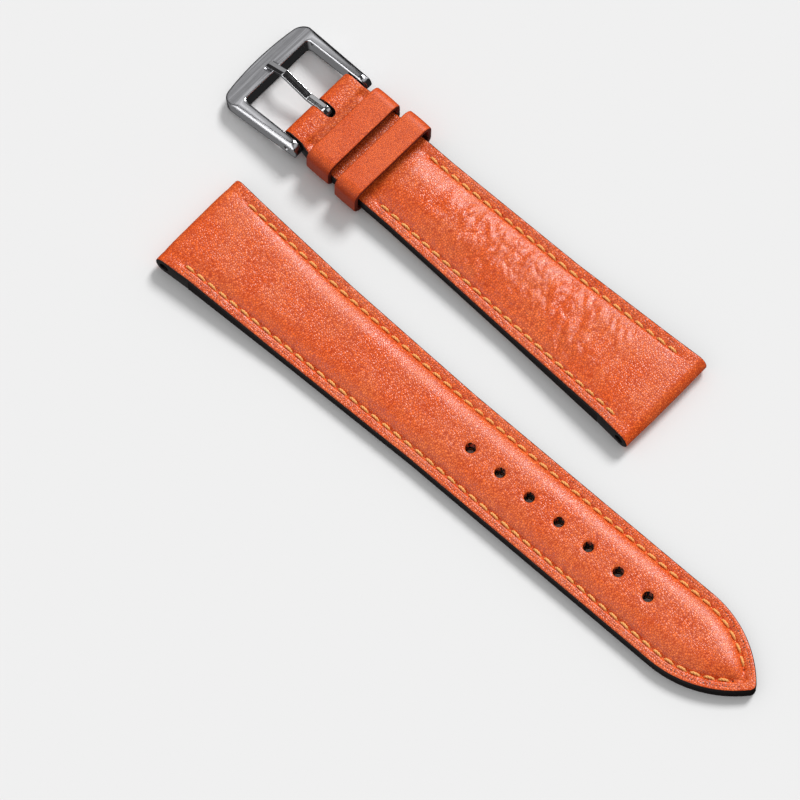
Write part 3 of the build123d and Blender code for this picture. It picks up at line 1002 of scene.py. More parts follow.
    def without_slot(self, flat: np.ndarray, faces: Faces) -> Faces:
        """Drops triangles that lie in the slot.

        Args:
            flat: The plane points.
            faces: The triangles.

        Returns:
            The triangles that are left.
        """
        s, near_share = self.form.sizes, 0.97
        radius = s.slot_width / 2
        x, y = np.array([flat[list(face)].mean(0) for face in faces]).T
        inside = (x > s.slot_x) & (np.abs(y) < radius)
        inside |= np.hypot(x - s.slot_x, y) < radius * near_share
        return [face for face, gone in zip(faces, inside) if not gone]

    def wrap(
        self, shell: Shell, centre: tuple[float, float], columns: np.ndarray, away: int
    ) -> np.ndarray:
        """Turns the top sheet's end round a loop.

        Args:
            shell: The piece.
            centre: The loop's centre, as distance from the lug end and height.
            columns: Distances from the middle, from edge to edge.
            away: -1 at the lug end, 1 at the fold.

        Returns:
            The rows of the loop.
        """
        form, (cx, cz) = self.form, centre
        half = float(form.half_width(cx))
        depth = half - np.abs(columns)
        top = form.height(np.full(len(columns), cx), columns) - cz
        low = cz - form.rounding(depth, form.sizes.under_round)
        rows = []
        for index, turn in enumerate(np.linspace(math.pi / 2, -math.pi / 2, self.loop_steps + 1)):
            share = index / self.loop_steps
            radius = top * (1 - share) + low * share
            x = cx + away * radius * math.cos(turn)
            y = columns * form.half_width(x) / half
            rows.append(np.stack([x, y, cz + radius * math.sin(turn)], 1))
        shell.grid(np.array(rows), self.paint(depth)[None, :])
        return np.array(rows)

    def side_line(self, side: float, x: np.ndarray) -> np.ndarray:
        """Where a side of a loop lies, as distances from the middle.

        Args:
            side: 1 or -1 for an edge of the half, or else a distance from the middle.
            x: Distances from the lug end.

        Returns:
            The distance from the middle at each x.
        """
        return side * self.form.half_width(x) if abs(side) == 1 else np.full(len(x), side)

    def cap(self, shell: Shell, loop: np.ndarray, hole: Hole, side: float) -> None:
        """Closes a side of a loop, with the bore through it.

        Args:
            shell: The piece.
            loop: Outline as distance and height.
            hole: The bore, as (x, z, radius).
            side: 1 or -1 for an edge of the half, or else a distance from the middle.
        """
        flat, faces = triangulate([loop, circle(*hole)], np.zeros((0, 2)), [hole])
        x, z = flat.T
        shell.add(np.stack([x, self.side_line(side, x), z], 1), faces, 1.0)

    def bore(self, shell: Shell, hole: Hole, sides: tuple[float, float]) -> None:
        """The inside of a bore between two sides.

        Args:
            shell: The piece.
            hole: The bore, as (x, z, radius).
            sides: Its ends, each told as for a cap.
        """
        x, z = circle(*hole).T
        rows = [np.stack([x, self.side_line(side, x), z], 1) for side in sides]
        shell.grid(np.array(rows), 1.0, closed=True)

    def lug_end(self, shell: Shell) -> np.ndarray:
        """The loop round the lug bore, with its turned-in flap.

        Args:
            shell: The piece.

        Returns:
            The flap's last row, where it meets the layers below the top leather.
        """
        form, s = self.form, self.form.sizes
        centre = (s.lug_loop, s.lug_loop)
        half = float(form.half_width(s.lug_loop))
        columns = self.across_line(half)
        rows = self.wrap(shell, centre, columns, -1)
        depth = half - np.abs(columns)
        fall = form.rounding(depth, s.under_round)
        flap = []
        for x in np.linspace(s.lug_loop, s.shoulder_x, self.flap_steps + 1):
            y = columns * float(form.half_width(x)) / half
            flap.append(np.stack([np.full(len(y), x), y, fall], 1))
        flap = np.array(flap)
        shell.grid(flap, self.paint(depth)[None, :])
        edge = self.outline(s.lug_loop, s.shoulder_x)
        top = np.stack([edge[:, 0], form.height(*edge.T)], 1)[1:][::-1]
        end = [[s.shoulder_x, float(form.layer_top(s.shoulder_x))]]
        for side, column in ((1, 0), (-1, -1)):
            turned = [rows[:, column][:, [0, 2]], flap[1:, column][:, [0, 2]]]
            self.cap(shell, np.concatenate([*turned, end, top]), (*centre, s.lug_bore), side)
        self.bore(shell, (*centre, s.lug_bore), (1, -1))
        return flap[-1]

    def fold_under(self, shell: Shell, edge: np.ndarray, first: np.ndarray) -> None:
        """The underside of the flap and the fold, up to the slot.

        Args:
            shell: The piece.
            edge: The flap's upper edge in plan.
            first: Plane points across the flap's end.
        """
        form, s = self.form, self.form.sizes
        loop = np.concatenate([edge, self.mouth(), edge[::-1] * (1, -1), first[::-1]])
        start, end = s.flap_x + self.under_start, s.fold_centre - self.under_end
        xs = np.arange(start, end, self.under_step)
        ys = np.arange(-self.under_half, self.under_half + TINY, self.under_step)
        grid = np.array([(x, y) for x in xs for y in ys])
        beside = np.abs(grid[:, 1]) > s.slot_width / 2 + self.under_side_clear
        grid = grid[beside | (grid[:, 0] < s.bar_x - self.under_back_clear)]
        rims = []
        for inset in self.under_insets:
            rims += [edge[:-1] - (0, inset), (edge[:-1] - (0, inset)) * (1, -1)]
        flat, faces = triangulate([loop], np.concatenate([grid, *rims]), [])
        depth = form.half_width(flat[:, 0]) - np.abs(flat[:, 1])
        points = np.column_stack([flat, form.rounding(depth, s.under_round)])
        shell.add(points, self.without_slot(flat, faces), self.paint(depth))

    def slot_wall(self, shell: Shell) -> None:
        """The wall round the slot's end, painted below its lip.

        Args:
            shell: The piece.
        """
        path = self.slot_path()
        top = self.form.height(*path.T)
        bend = slice(self.slot_steps, -self.slot_steps)
        heights = (top, top - self.slot_lip, 0 * top)
        rows = [np.column_stack([path, height])[bend] for height in heights]
        shell.grid(np.array(rows), np.array([0.0, 1.0, 1.0])[:, None])

    def lobe(self, shell: Shell, edge: np.ndarray, rows: np.ndarray, sign: int) -> None:
        """Closes both sides of a lobe of the fold, with the spring bar's bore through it.

        Args:
            shell: The piece.
            edge: The flap's upper edge in plan.
            rows: The rows of the lobe's loop.
            sign: 1 or -1, for the edge of the half beside it.
        """
        form, s = self.form, self.form.sizes
        hole = (s.bar_x, s.fold_radius, s.fold_bore)
        wall = self.slot_path()[::sign][: self.slot_steps + 1]
        top = np.stack([wall[:, 0], form.height(*wall.T)], 1)
        low = [[x, 0.0] for x in wall[1:, 0]]
        turned = rows[1:, -1][:, [0, 2]]
        loop = np.concatenate([top[::-1], turned, low, [top[-1] - (0, self.slot_lip)]])
        self.cap(shell, loop, hole, sign * s.slot_width / 2)
        line = np.concatenate([[[s.flap_x, float(form.half_width(s.flap_x))]], edge])
        top = np.stack([line[:, 0], form.height(*line.T)], 1)
        low = np.stack([line[:, 0], np.full(len(line), s.under_round)], 1)[:-1][::-1]
        end = [[s.flap_x, float(form.layer_top(s.flap_x))]]
        self.cap(shell, np.concatenate([top, rows[1:, 0][:, [0, 2]], low, end]), hole, sign)
        self.bore(shell, hole, (sign, sign * s.slot_width / 2))

    def fold_end(self, shell: Shell) -> np.ndarray:
        """The fold round the spring bar in two lobes, with the flap under it.

        Args:
            shell: The piece.

        Returns:
            The flap's last row, where it meets the layers below the top leather.
        """
        form, s = self.form, self.form.sizes
        centre = (s.fold_centre, s.fold_radius)
        side = self.columns(s.fold_width / 2, s.slot_width / 2)
        rows = {sign: self.wrap(shell, centre, sign * side, 1) for sign in (1, -1)}
        edge = self.outline(s.flap_x, s.fold_centre)
        edge = edge[edge[:, 0] > s.flap_x + TINY]
        start_half = float(form.half_width(s.flap_x))
        start = self.across_line(start_half)
        first = np.stack([np.full(len(start), s.flap_x), start], 1)
        self.fold_under(shell, edge, first)
        self.slot_wall(shell)
        for sign in (1, -1):
            self.lobe(shell, edge, rows[sign], sign)
        return np.column_stack([first, form.rounding(start_half - np.abs(start), s.under_round)])

    def skirt(self, shell: Shell, path: np.ndarray, closed: bool = False) -> None:
        """A wall from the top sheet down to the layers below.

        Args:
            shell: The piece.
            path: Plane points that it stands on.
            closed: Whether its end meets its start.
        """
        top = np.column_stack([path, self.form.height(*path.T)])
        low = np.column_stack([path, self.form.layer_top(path[:, 0])])
        shell.grid(np.array([top, low]), 1.0, closed)

    def underside(self, shell: Shell, first: np.ndarray, last: np.ndarray | None) -> None:
        """The hidden lower side over the core, its walls, and the walls of the holes, which get
        painted shade.

        Args:
            shell: The piece.
            first: The lug flap's last row.
            last: The fold flap's last row, if the half has a fold.
        """
        form, s = self.form, self.form.sizes
        stop = form.length if last is None else s.flap_x
        edge = self.outline(s.shoulder_x, stop)
        lower = edge[::-1] * (1, -1)
        far = [lower[1:]] if last is None else [last[1:-1, :2], lower]
        outer = np.concatenate([edge, *far, first[:, :2][::-1][1:-1]])
        xs = np.arange(self.rib_start, stop - self.rib_end, self.rib_step)
        ribs = np.array([(x, y) for x in xs for y in self.rib_rows])
        for x, y, radius in form.holes:
            ribs = ribs[np.hypot(ribs[:, 0] - x, ribs[:, 1] - y) > radius + self.rib_clear]
        flat, faces = triangulate([outer] + [circle(*hole) for hole in form.holes], ribs, form.holes)
        paint = self.paint(form.depth(*flat.T, SHARP))
        shell.add(np.column_stack([flat, form.layer_top(flat[:, 0])]), faces, paint)
        sides = [np.concatenate([edge, lower[1:]])] if last is None else [edge, edge * (1, -1)]
        for path in sides:
            self.skirt(shell, path)
        for row in (first,) if last is None else (first, last):
            upper = np.column_stack([row[:, :2], form.layer_top(row[:, 0])])
            shell.grid(np.array([row, upper]), 1.0)
        # Painted shade: the holes' walls get full edge paint, so the holes look dark all the way
        # down.
        for hole in form.holes:
            self.skirt(shell, circle(*hole), closed=True)

    def make(self, material: bpy.types.Material) -> bpy.types.Object:
        """Makes the piece.

        Args:
            material: The leather's finish.

        Returns:
            The new object.
        """
        shell = Shell()
        self.sheet(shell)
        first = self.lug_end(shell)
        last = self.fold_end(shell) if self.folded else None
        self.underside(shell, first, last)
        return shell.build(self.name, self.place, material)


@dataclass
class Slab:
    """A flat layer under the top leather, such as the core or the lining."""

    name: str
    form: HalfForm
    place: Placement
    stop: float
    inset: float = 0.012
    corner: float = 0.02
    start_gap: float = 0.02
    edge_step: float = 1.0
    paint_reach: float = 0.3
    under_paint: float = 0.4
    rib_span: tuple[float, float, float] = (9.0, 30.0, 3.0)
    rib_rows: tuple[float, ...] = (-4.0, 0.0, 4.0)
    sharp_degrees: float = 30.0

    def loop(self, inset: float) -> np.ndarray:
        """Closed outline of the layer.

        Args:
            inset: How far inside the half's edge it runs.

        Returns:
            Plane points, one per row.
        """
        start = self.form.sizes.shoulder_x + self.start_gap
        line = self.form.upper_line(inset, self.edge_step, start)
        line = line[line[:, 0] < self.stop]
        cut = self.stop < self.form.length
        if cut:
            end = float(self.form.half_width(self.stop)) - inset
            line = np.concatenate([line, [[self.stop, end]]])
        lower = line[::-1] * (1, -1)
        return np.concatenate([line, lower if cut else lower[1:]])

    def top(self, x: np.ndarray, high: float | None) -> np.ndarray:
        """Height of the layer's top, which without a height reaches up to the top leather."""
        return self.form.layer_top(x) if high is None else np.full(len(x), high)

    def make(
        self, material: bpy.types.Material, low: float, high: float | None
    ) -> bpy.types.Object:
        """Makes the piece.

        Args:
            material: The layer's finish.
            low: Height of its underside.
            high: Height of its top, or None to reach up to the top leather.

        Returns:
            The new object.
        """
        form, holes = self.form, self.form.holes
        shell = Shell(sharp_degrees=self.sharp_degrees)
        outer, inner = self.loop(self.inset), self.loop(self.inset + self.corner)
        rings = [
            np.column_stack([inner, np.full(len(inner), low)]),
            np.column_stack([outer, np.full(len(outer), low + self.corner)]),
            np.column_stack([outer, self.top(outer[:, 0], high) - self.corner / 2]),
            np.column_stack([inner, self.top(inner[:, 0], high)]),
        ]
        ring_paint = np.array([self.under_paint, 1.0, 1.0, 1.0])[:, None]
        shell.grid(np.array(rings), ring_paint, closed=True)
        ribs = np.array([(x, y) for x in np.arange(*self.rib_span) for y in self.rib_rows])
        for upper in (False, True):
            loops = [inner] + [circle(*hole) for hole in holes]
            flat, faces = triangulate(loops, ribs, holes)
            z = self.top(flat[:, 0], high) if upper else np.full(len(flat), low)
            bare = form.depth(*flat.T, SHARP) - self.inset - self.corner
            edge_paint = np.clip(1 - bare / self.paint_reach, 0, 1)
            edge_paint *= 1.0 if upper else self.under_paint
            shell.add(np.column_stack([flat, z]), faces, edge_paint)
        # Painted shade: the holes' walls get full edge paint, so the holes look dark all the way
        # down.
        for hole in holes:
            ring = circle(*hole)
            bottom = np.column_stack([ring, np.full(len(ring), low)])
            above = np.column_stack([ring, self.top(ring[:, 0], high)])
            shell.grid(np.array([bottom, above]), 1.0, closed=True)
        return shell.build(self.name, self.place, material)


@dataclass
class Stitching:
    """Thread of both seams of a half: one twisted two-ply arch per stitch."""

    name: str
    form: HalfForm
    place: Placement
    seed: int
    ply_radius: float = 0.155
    ply_offset: float = 0.11
    twist: float = 1.9
    slant: float = 0.13
    slant_spread: float = 0.02
    lift: float = 0.25
    lift_spread: float = 0.012
    overlap: float = 0.16
    seat_share: float = 0.62
    sink: float = 0.42
    arch_power: float = 3.2
    end_squeeze: float = 0.35
    end_taper: float = 0.72
    taper_power: float = 3.0
    steps: int = 16
    sides: int = 8
    sharp_degrees: float = 60.0

    def ply(self, shell: Shell, path: np.ndarray, left: np.ndarray) -> None:
        """A closed tube along a ply.

        Args:
            shell: The piece.
            path: The ply's middle line.
            left: Across the stitch, in plan.
        """
        tangent = np.gradient(path, axis=0)
        tangent /= np.linalg.norm(tangent, axis=1)[:, None]
        upward = np.cross(tangent, np.array([*left, 0.0]))
        upward /= np.linalg.norm(upward, axis=1)[:, None]
        flank = np.cross(upward, tangent)
        around = np.linspace(0, 2 * math.pi, self.sides, endpoint=False)[:, None]
        rows = []
        for index, t in enumerate(np.linspace(0, 1, self.steps + 1)):
            full = 1 - abs(2 * t - 1) ** self.taper_power
            radius = self.ply_radius * (self.end_taper + (1 - self.end_taper) * full)
            ring = radius * np.cos(around) * flank[index] + radius * np.sin(around) * upward[index]
            rows.append(path[index] + ring)
        shell.grid(np.array(rows), 0.0, closed=True)
        for end in (0, -1):
            shell.add(rows[end], [tuple(range(self.sides))], 0.0)

    def stitch(self, shell: Shell, start: float, side: int, rng: np.random.Generator) -> None:
        """One stitch, from needle hole to needle hole.

        Args:
            shell: The piece.
            start: Where it begins, along the seam.
            side: 1 or -1, for the edge that the seam follows.
            rng: Draws its slant, its height and where its twist begins.
        """
        form, s = self.form, self.form.sizes
        here, there = form.seam_point(start, side), form.seam_point(start + s.stitch_length, side)
        way = (there - here) / np.linalg.norm(there - here)
        left = np.array([-way[1], way[0]])
        lean = self.slant + rng.normal(0, self.slant_spread)
        lift = self.lift + rng.normal(0, self.lift_spread)
        phase = rng.uniform(0, math.pi)
        for ply in (0, 1):
            path = []
            for t in np.linspace(0, 1, self.steps + 1):
                reach = (t - 0.5) * (s.stitch_length + self.overlap)
                flat = (here + there) / 2 + way * reach + left * lean * (t - 0.5) * side
                seat = float(form.rim(flat[0])) - s.groove_depth * self.seat_share
                arch = 1 - abs(2 * t - 1) ** self.arch_power
                height = seat - self.sink + (self.sink + lift) * arch
                turn = phase + ply * math.pi + self.twist * 2 * math.pi * t
                offset = self.ply_offset * (self.end_squeeze + (1 - self.end_squeeze) * arch)
                flat = flat + left * offset * math.cos(turn)
                path.append((*flat, height + offset * math.sin(turn)))
            self.ply(shell, np.array(path), left)

    def make(self, material: bpy.types.Material) -> bpy.types.Object:
        """Makes every stitch of the half as one piece.

        Args:
            material: The thread's finish.

        Returns:
            The new object.
        """
        rng = np.random.default_rng(self.seed)
        shell = Shell(sharp_degrees=self.sharp_degrees)
        for side in (1, -1):
            for start in self.form.stitch_starts():
                self.stitch(shell, start, side, rng)
        return shell.build(self.name, self.place, material)


@dataclass
class Keeper:
    """A flat loop of leather round the short half."""

    name: str
    place: Placement
    x: float
    length: float
    inner_width: float
    height: float
    play: float
    wall: float
    corner: float
    seed: float
    step: float = 0.7
    outer_round: float = 0.24
    inner_round: float = 0.16
    bulge: float = 0.07
    inner_bulge_share: float = 0.3
    wobble: float = 0.05
    wobble_size: float = 4.0
    paint_reach: float = 0.16
    corner_points: int = 11
    outer_points: int = 5
    inner_points: int = 4
    inner_shares: tuple[float, ...] = (0.75, 0.5, 0.25)
    outer_shares: tuple[float, ...] = (0.15, 0.3, 0.5, 0.7, 0.85)
    sharp_degrees: float = 50.0

    def path(self) -> list[tuple[np.ndarray, np.ndarray]]:
        """The middle line that the strip follows round the short half.

        Returns:
            Points, as distance from the middle and height, each with the direction outwards.
        """
        half_w = self.inner_width / 2 + self.wall - self.corner
        half_h = self.height / 2 - self.corner
        corners = ((half_w, half_h), (-half_w, half_h), (-half_w, -half_h), (half_w, -half_h))
        found = []
        for quarter, corner in enumerate(corners):
            begin, end = quarter * math.pi / 2, (quarter + 1) * math.pi / 2
            for turn in np.linspace(begin, end, self.corner_points):
                found.append((np.array(corner), np.array([math.cos(turn), math.sin(turn)])))
            gap = np.array(corners[(quarter + 1) % 4]) - corner
            count = int(np.linalg.norm(gap) / self.step)
            for share in np.linspace(0, 1, count + 2)[1:-1]:
                found.append((corner + gap * share, np.array([math.cos(end), math.sin(end)])))
        return found

    def section(self) -> list[tuple[float, float]]:
        """The strip's closed outline.

        Returns:
            Points, each as distance along the half and height over the strip's outside.
        """
        outer, inner, wall, long = self.outer_round, self.inner_round, self.wall, self.length
        wide, tight = (
            [(math.sin(turn), math.cos(turn)) for turn in np.linspace(0, math.pi / 2, count)]
            for count in (self.outer_points, self.inner_points)
        )
        points = [(long - outer + outer * a, -outer + outer * b) for a, b in wide]
        points += [(long - inner + inner * b, -wall + inner - inner * a) for a, b in tight]
        points += [(long * share, -wall) for share in self.inner_shares]
        points += [(inner - inner * a, -wall + inner - inner * b) for a, b in tight]
        points += [(outer - outer * b, -outer + outer * a) for a, b in wide]
        return points + [(long * share, 0.0) for share in self.outer_shares]

    def paint(self, along: float, out: float) -> float:
        """Edge paint at a point of the section, and painted shade over the loop's whole inner side.

        Args:
            along: Distance along the half from the strip's near side.
            out: Height over the strip's outside.

        Returns:
            The paint, from 0 to 1.
        """
        # Painted shade: the whole inner side of the loop gets the dark edge colour.
        if out <= -self.wall / 2:
            return 1.0
        edge = min(along, self.length - along)
        return float(np.clip(1 - edge / self.paint_reach, 0, 1))

    def make(self, material: bpy.types.Material) -> bpy.types.Object:
        """Makes the loop as a strip with rounded, painted edges and painted shade on its inner side.

        Args:
            material: The leather's finish.

        Returns:
            The new object.
        """
        middle = self.height / 2 - self.play - self.wall
        section = self.section()
        rows = []
        for point, normal in self.path():
            row = []
            for along, out in section:
                crown = self.bulge * (1 - (2 * along / self.length - 1) ** 2)
                crown *= 1 if out > -self.wall / 2 else self.inner_bulge_share
                y, z = point + normal * (self.corner + out + crown)
                place = Vector((y / self.wobble_size, z / self.wobble_size, self.seed))
                row.append((self.x + along + self.wobble * noise.noise(place), y, z + middle))
            rows.append(row)
        rows.append(rows[0])
        shell = Shell(sharp_degrees=self.sharp_degrees)
        shell.grid(np.array(rows), np.array([self.paint(*point) for point in section]), closed=True)
        return shell.build(self.name, self.place, material)


# Metal pieces


@dataclass(frozen=True)
class RoundedCopy:
    """A copy of a rigid CAD node whose crisp edges are rounded."""

    node: str
    name: str
    width: float
    crisp_degrees: float = 22.0
    flat_degrees: float = 1.0
    sharp_degrees: float = 38.0
    weld: float = 1e-4
    steps: int = 3
    face_weight: int = 90

    def make(self, material: bpy.types.Material) -> bpy.types.Object:
        """Makes the piece.

        Args:
            material: Its finish.

        Returns:
            The new object, in the row frame.
        """
        body = bmesh.new()
        body.from_mesh(frame["nodes"][self.node].data)
        bmesh.ops.remove_doubles(body, verts=body.verts, dist=self.weld * MM)
        flat = math.radians(self.flat_degrees)
        bmesh.ops.dissolve_limit(body, angle_limit=flat, verts=body.verts, edges=body.edges)
        bend = math.radians(self.crisp_degrees)
        bmesh.ops.bevel(
            body,
            geom=[e for e in body.edges if e.is_manifold and e.calc_face_angle() > bend],
            offset=self.width * MM,
            segments=self.steps,
            profile=0.5,
            affect="EDGES",
            clamp_overlap=True,
        )
        bmesh.ops.recalc_face_normals(body, faces=body.faces)
        mesh = bpy.data.meshes.new(self.name)
        body.to_mesh(mesh)
        body.free()
        mesh.shade_smooth()
        mesh.set_sharp_from_angle(angle=math.radians(self.sharp_degrees))
        mesh.materials.clear()
        mesh.materials.append(material)
        piece = bpy.data.objects.new(self.name, mesh)
        bpy.context.scene.collection.objects.link(piece)
        weighted = piece.modifiers.new("faces_first", "WEIGHTED_NORMAL")
        weighted.keep_sharp = True
        weighted.weight = self.face_weight
        LOG.info("%s: rounded copy of %s, %d points", self.name, self.node, len(mesh.vertices))
        return piece


# Finishes


@dataclass
class Tree:
    """Small helper that builds a node tree."""

    tree: bpy.types.NodeTree

    def new(self, kind: str, **settings: str | int | bool) -> bpy.types.Node:
        """Adds a node.

        Args:
            kind: The node's type.
            **settings: Properties that it gets.

        Returns:
            The node.
        """
        node = self.tree.nodes.new(kind)
        for key, value in settings.items():
            setattr(node, key, value)
        return node

    def feed(self, socket: Socket, value: Socket | Colour | float) -> None:
        """Links a socket to another, or sets it to a colour or a number.

        Args:
            socket: The socket that takes the value.
            value: What it takes.
        """
        if isinstance(value, Socket):
            self.tree.links.new(value, socket)
        elif isinstance(value, tuple) and len(socket.default_value) == 4:
            socket.default_value = (*value, 1.0)
        else:
            socket.default_value = value

    def facing(self, axis: str) -> Socket:
        """How far the surface faces along an axis.

        Args:
            axis: The axis, as X, Y or Z.

        Returns:
            The share, from -1 to 1.
        """
        parts = self.new("ShaderNodeSeparateXYZ")
        self.feed(parts.inputs[0], self.new("ShaderNodeNewGeometry").outputs["Normal"])
        return parts.outputs[axis]

    def math(self, operation: str, *values: Socket | float) -> Socket:
        """A math node.

        Args:
            operation: What it does.
            *values: Its inputs, in order.

        Returns:
            The output.
        """
        node = self.new("ShaderNodeMath", operation=operation)
        for socket, value in zip(node.inputs, values):
            self.feed(socket, value)
        return node.outputs[0]

    def vector(self, operation: str, *values: Socket | Colour) -> Socket:
        """A vector math node.

        Args:
            operation: What it does.
            *values: Its inputs, in order.

        Returns:
            The output.
        """
        node = self.new("ShaderNodeVectorMath", operation=operation)
        for socket, value in zip(node.inputs, values):
            self.feed(socket, value)
        return node.outputs[0]

    def mix(self, share: Socket, first: Socket | Colour, second: Socket | Colour) -> Socket:
        """Mixes two colours.

        Args:
            share: How much of the second colour there is.
            first: The first colour.
            second: The second colour.

        Returns:
            The mixed colour.
        """
        node = self.new("ShaderNodeMix", data_type="RGBA")
        for index, value in ((0, share), (6, first), (7, second)):
            self.feed(node.inputs[index], value)
        return node.outputs[2]

    def span(
        self, value: Socket, low: float, high: float, to_low: float = 0.0, to_high: float = 1.0
    ) -> Socket:
        """Maps a value from one span to another, smoothly and clamped.

        Args:
            value: The value.
            low: Where its span starts.
            high: Where its span ends.
            to_low: Where the new span starts.
            to_high: Where the new span ends.

        Returns:
            The mapped value.
        """
        node = self.new("ShaderNodeMapRange", interpolation_type="SMOOTHSTEP")
        for socket, number in zip(node.inputs, (value, low, high, to_low, to_high)):
            self.feed(socket, number)
        return node.outputs[0]

    def noise(self, where: Socket, scale: float, detail: float) -> bpy.types.Node:
        """Noise over points.

        Args:
            where: The points.
            scale: Waves to the metre.
            detail: How many finer layers it has.

        Returns:
            The node.
        """
        node = self.new("ShaderNodeTexNoise")
        for name, value in (("Scale", scale), ("Detail", detail), ("Vector", where)):
            self.feed(node.inputs[name], value)
        return node

    def cells(self, where: Socket, feature: str, scale: float, randomness: float) -> bpy.types.Node:
        """Cells over points.

        Args:
            where: The points.
            feature: What of the cells is measured.
            scale: Cells to the metre.
            randomness: How uneven they lie.

        Returns:
            The node.
        """
        node = self.new("ShaderNodeTexVoronoi", feature=feature)
        for name, value in (("Scale", scale), ("Randomness", randomness), ("Vector", where)):
            self.feed(node.inputs[name], value)
        return node

    def bump(self, height: Socket, depth: float) -> bpy.types.Node:
        """Relief in the shading.

        Args:
            height: The relief, from 0 to 1.
            depth: How deep it is, in millimetres.

        Returns:
            The node.
        """
        node = self.new("ShaderNodeBump")
        self.feed(node.inputs["Strength"], 1.0)
        self.feed(node.inputs["Distance"], depth * MM)
        self.feed(node.inputs["Height"], height)
        return node


class Nodes(Tree):
    """The node tree of a new material."""

    def __init__(self, name: str) -> None:
        """Starts a material.

        Args:
            name: The finish's name.
        """
        self.material = bpy.data.materials.new(f"{name}_finish")
        self.material.use_nodes = True
        super().__init__(self.material.node_tree)
        self.shader = self.tree.nodes["Principled BSDF"]

    def place(self) -> Socket:
        """Points in the object's own frame."""
        return self.new("ShaderNodeTexCoord").outputs["Object"]

    def dress(self, **values: Socket | Colour | float) -> None:
        """Feeds inputs of the shader.

        Args:
            **values: What each input takes, by its name with underscores for spaces.
        """
        for name, value in values.items():
            self.feed(self.shader.inputs[name.replace("_", " ")], value)


EDGE_PAINT = (0.0065, 0.003, 0.0035)


@dataclass(frozen=True)
class LeatherFinish:
    """Pebbled leather with painted edges, painted shade in the grain's creases and, where flank is
    set, painted shade on steep sides.
    """

    name: str
    colour: Colour
    pale: Colour
    dark: Colour
    paint: Colour = EDGE_PAINT
    grain: float = 0.00040
    grain_depth: float = 0.021
    warp_share: float = 0.9
    fine_share: float = 0.12
    warp_stretch: float = 0.35
    fine_stretch: float = 3.2
    randomness: float = 0.95
    crease_width: float = 0.3
    tone_span: tuple[float, float] = (0.3, 0.7)
    pebble_span: tuple[float, float] = (0.15, 0.85)
    # Painted shade in the grain's creases: how far from a crease it reaches.
    crease_shade_span: tuple[float, float] = (0.22, 0.0)
    # Painted shade on steep sides: from facing up to facing sideways.
    side_shade_span: tuple[float, float] = (0.98, 0.25)
    paint_span: tuple[float, float] = (0.48, 0.62)
    # How dark the painted shade in the creases gets.
    crease_shade: float = 0.85
    mottle: float = 0.42
    cloud_scale: float = 170.0
    roughness: float = 0.28
    roughness_swing: float = 0.25
    paint_swing: float = 0.25
    paint_roughness: float = 0.25
    specular: float = 0.45
    # Share of painted shade on steep sides, 0 for none.
    flank: float = 0.0

    def tone(self, n: Nodes, creases: Socket, pebbles: Socket, cloud: Socket) -> Socket:
        """The leather's colour under the edge paint, with painted shade in the creases between the
        pebbles and, where flank is set, on steep sides.

        Args:
            n: The material's nodes.
            creases: Distance from the creases between the pebbles.
            pebbles: A value of its own for each pebble.
            cloud: Broad, soft noise.

        Returns:
            The colour.
        """
        tone = n.mix(n.span(cloud, *self.tone_span), self.colour, self.pale)
        each = n.math("MULTIPLY", n.span(pebbles, *self.pebble_span), self.mottle)
        tone = n.mix(each, tone, self.dark)
        # Painted shade: the creases between the pebbles are darkened towards the dark colour.
        depth = n.math("MULTIPLY", n.span(creases, *self.crease_shade_span), self.crease_shade)
        tone = n.mix(depth, tone, self.dark)
        # Painted shade: sides that face away from straight up are darkened towards the dark colour.
        if self.flank:
            side_shade = n.span(n.facing("Z"), *self.side_shade_span)
            tone = n.mix(n.math("MULTIPLY", side_shade, self.flank), tone, self.dark)
        return tone

    def build(self) -> bpy.types.Material:
        """Makes the material.

        Returns:
            The new material.
        """
        n = Nodes(self.name)
        where = n.place()
        warp = n.noise(where, self.warp_stretch / self.grain, 2.0).outputs["Color"]
        reach = (self.grain * self.warp_share,) * 3
        shifted = n.vector("MULTIPLY_ADD", warp, reach, where)
        cells = (1 / self.grain, self.randomness)
        creases = n.cells(shifted, "DISTANCE_TO_EDGE", *cells).outputs["Distance"]
        pebbles = n.cells(shifted, "F1", *cells).outputs["Color"]
        fine = n.noise(where, self.fine_stretch / self.grain, 3.0).outputs["Fac"]
        cloud = n.noise(where, self.cloud_scale, 4.0).outputs["Fac"]
        swell = n.span(creases, 0.0, self.crease_width)
        height = n.math("ADD", swell, n.math("MULTIPLY", fine, self.fine_share))
        tone = self.tone(n, creases, pebbles, cloud)
        mask = n.new("ShaderNodeAttribute", attribute_name="paint").outputs["Fac"]
        swing = n.math("MULTIPLY", n.math("SUBTRACT", fine, 0.5), self.paint_swing)
        painted = n.span(n.math("ADD", mask, swing), *self.paint_span)
        swing = n.math("MULTIPLY", n.math("SUBTRACT", cloud, 0.5), self.roughness_swing)
        rough = n.math("ADD", self.roughness, swing)
        n.dress(
            Base_Color=n.mix(painted, tone, self.paint),
            Normal=n.bump(height, self.grain_depth).outputs["Normal"],
            Roughness=n.math("ADD", rough, n.math("MULTIPLY", painted, self.paint_roughness)),
            Specular_IOR_Level=self.specular,
        )
        return n.material


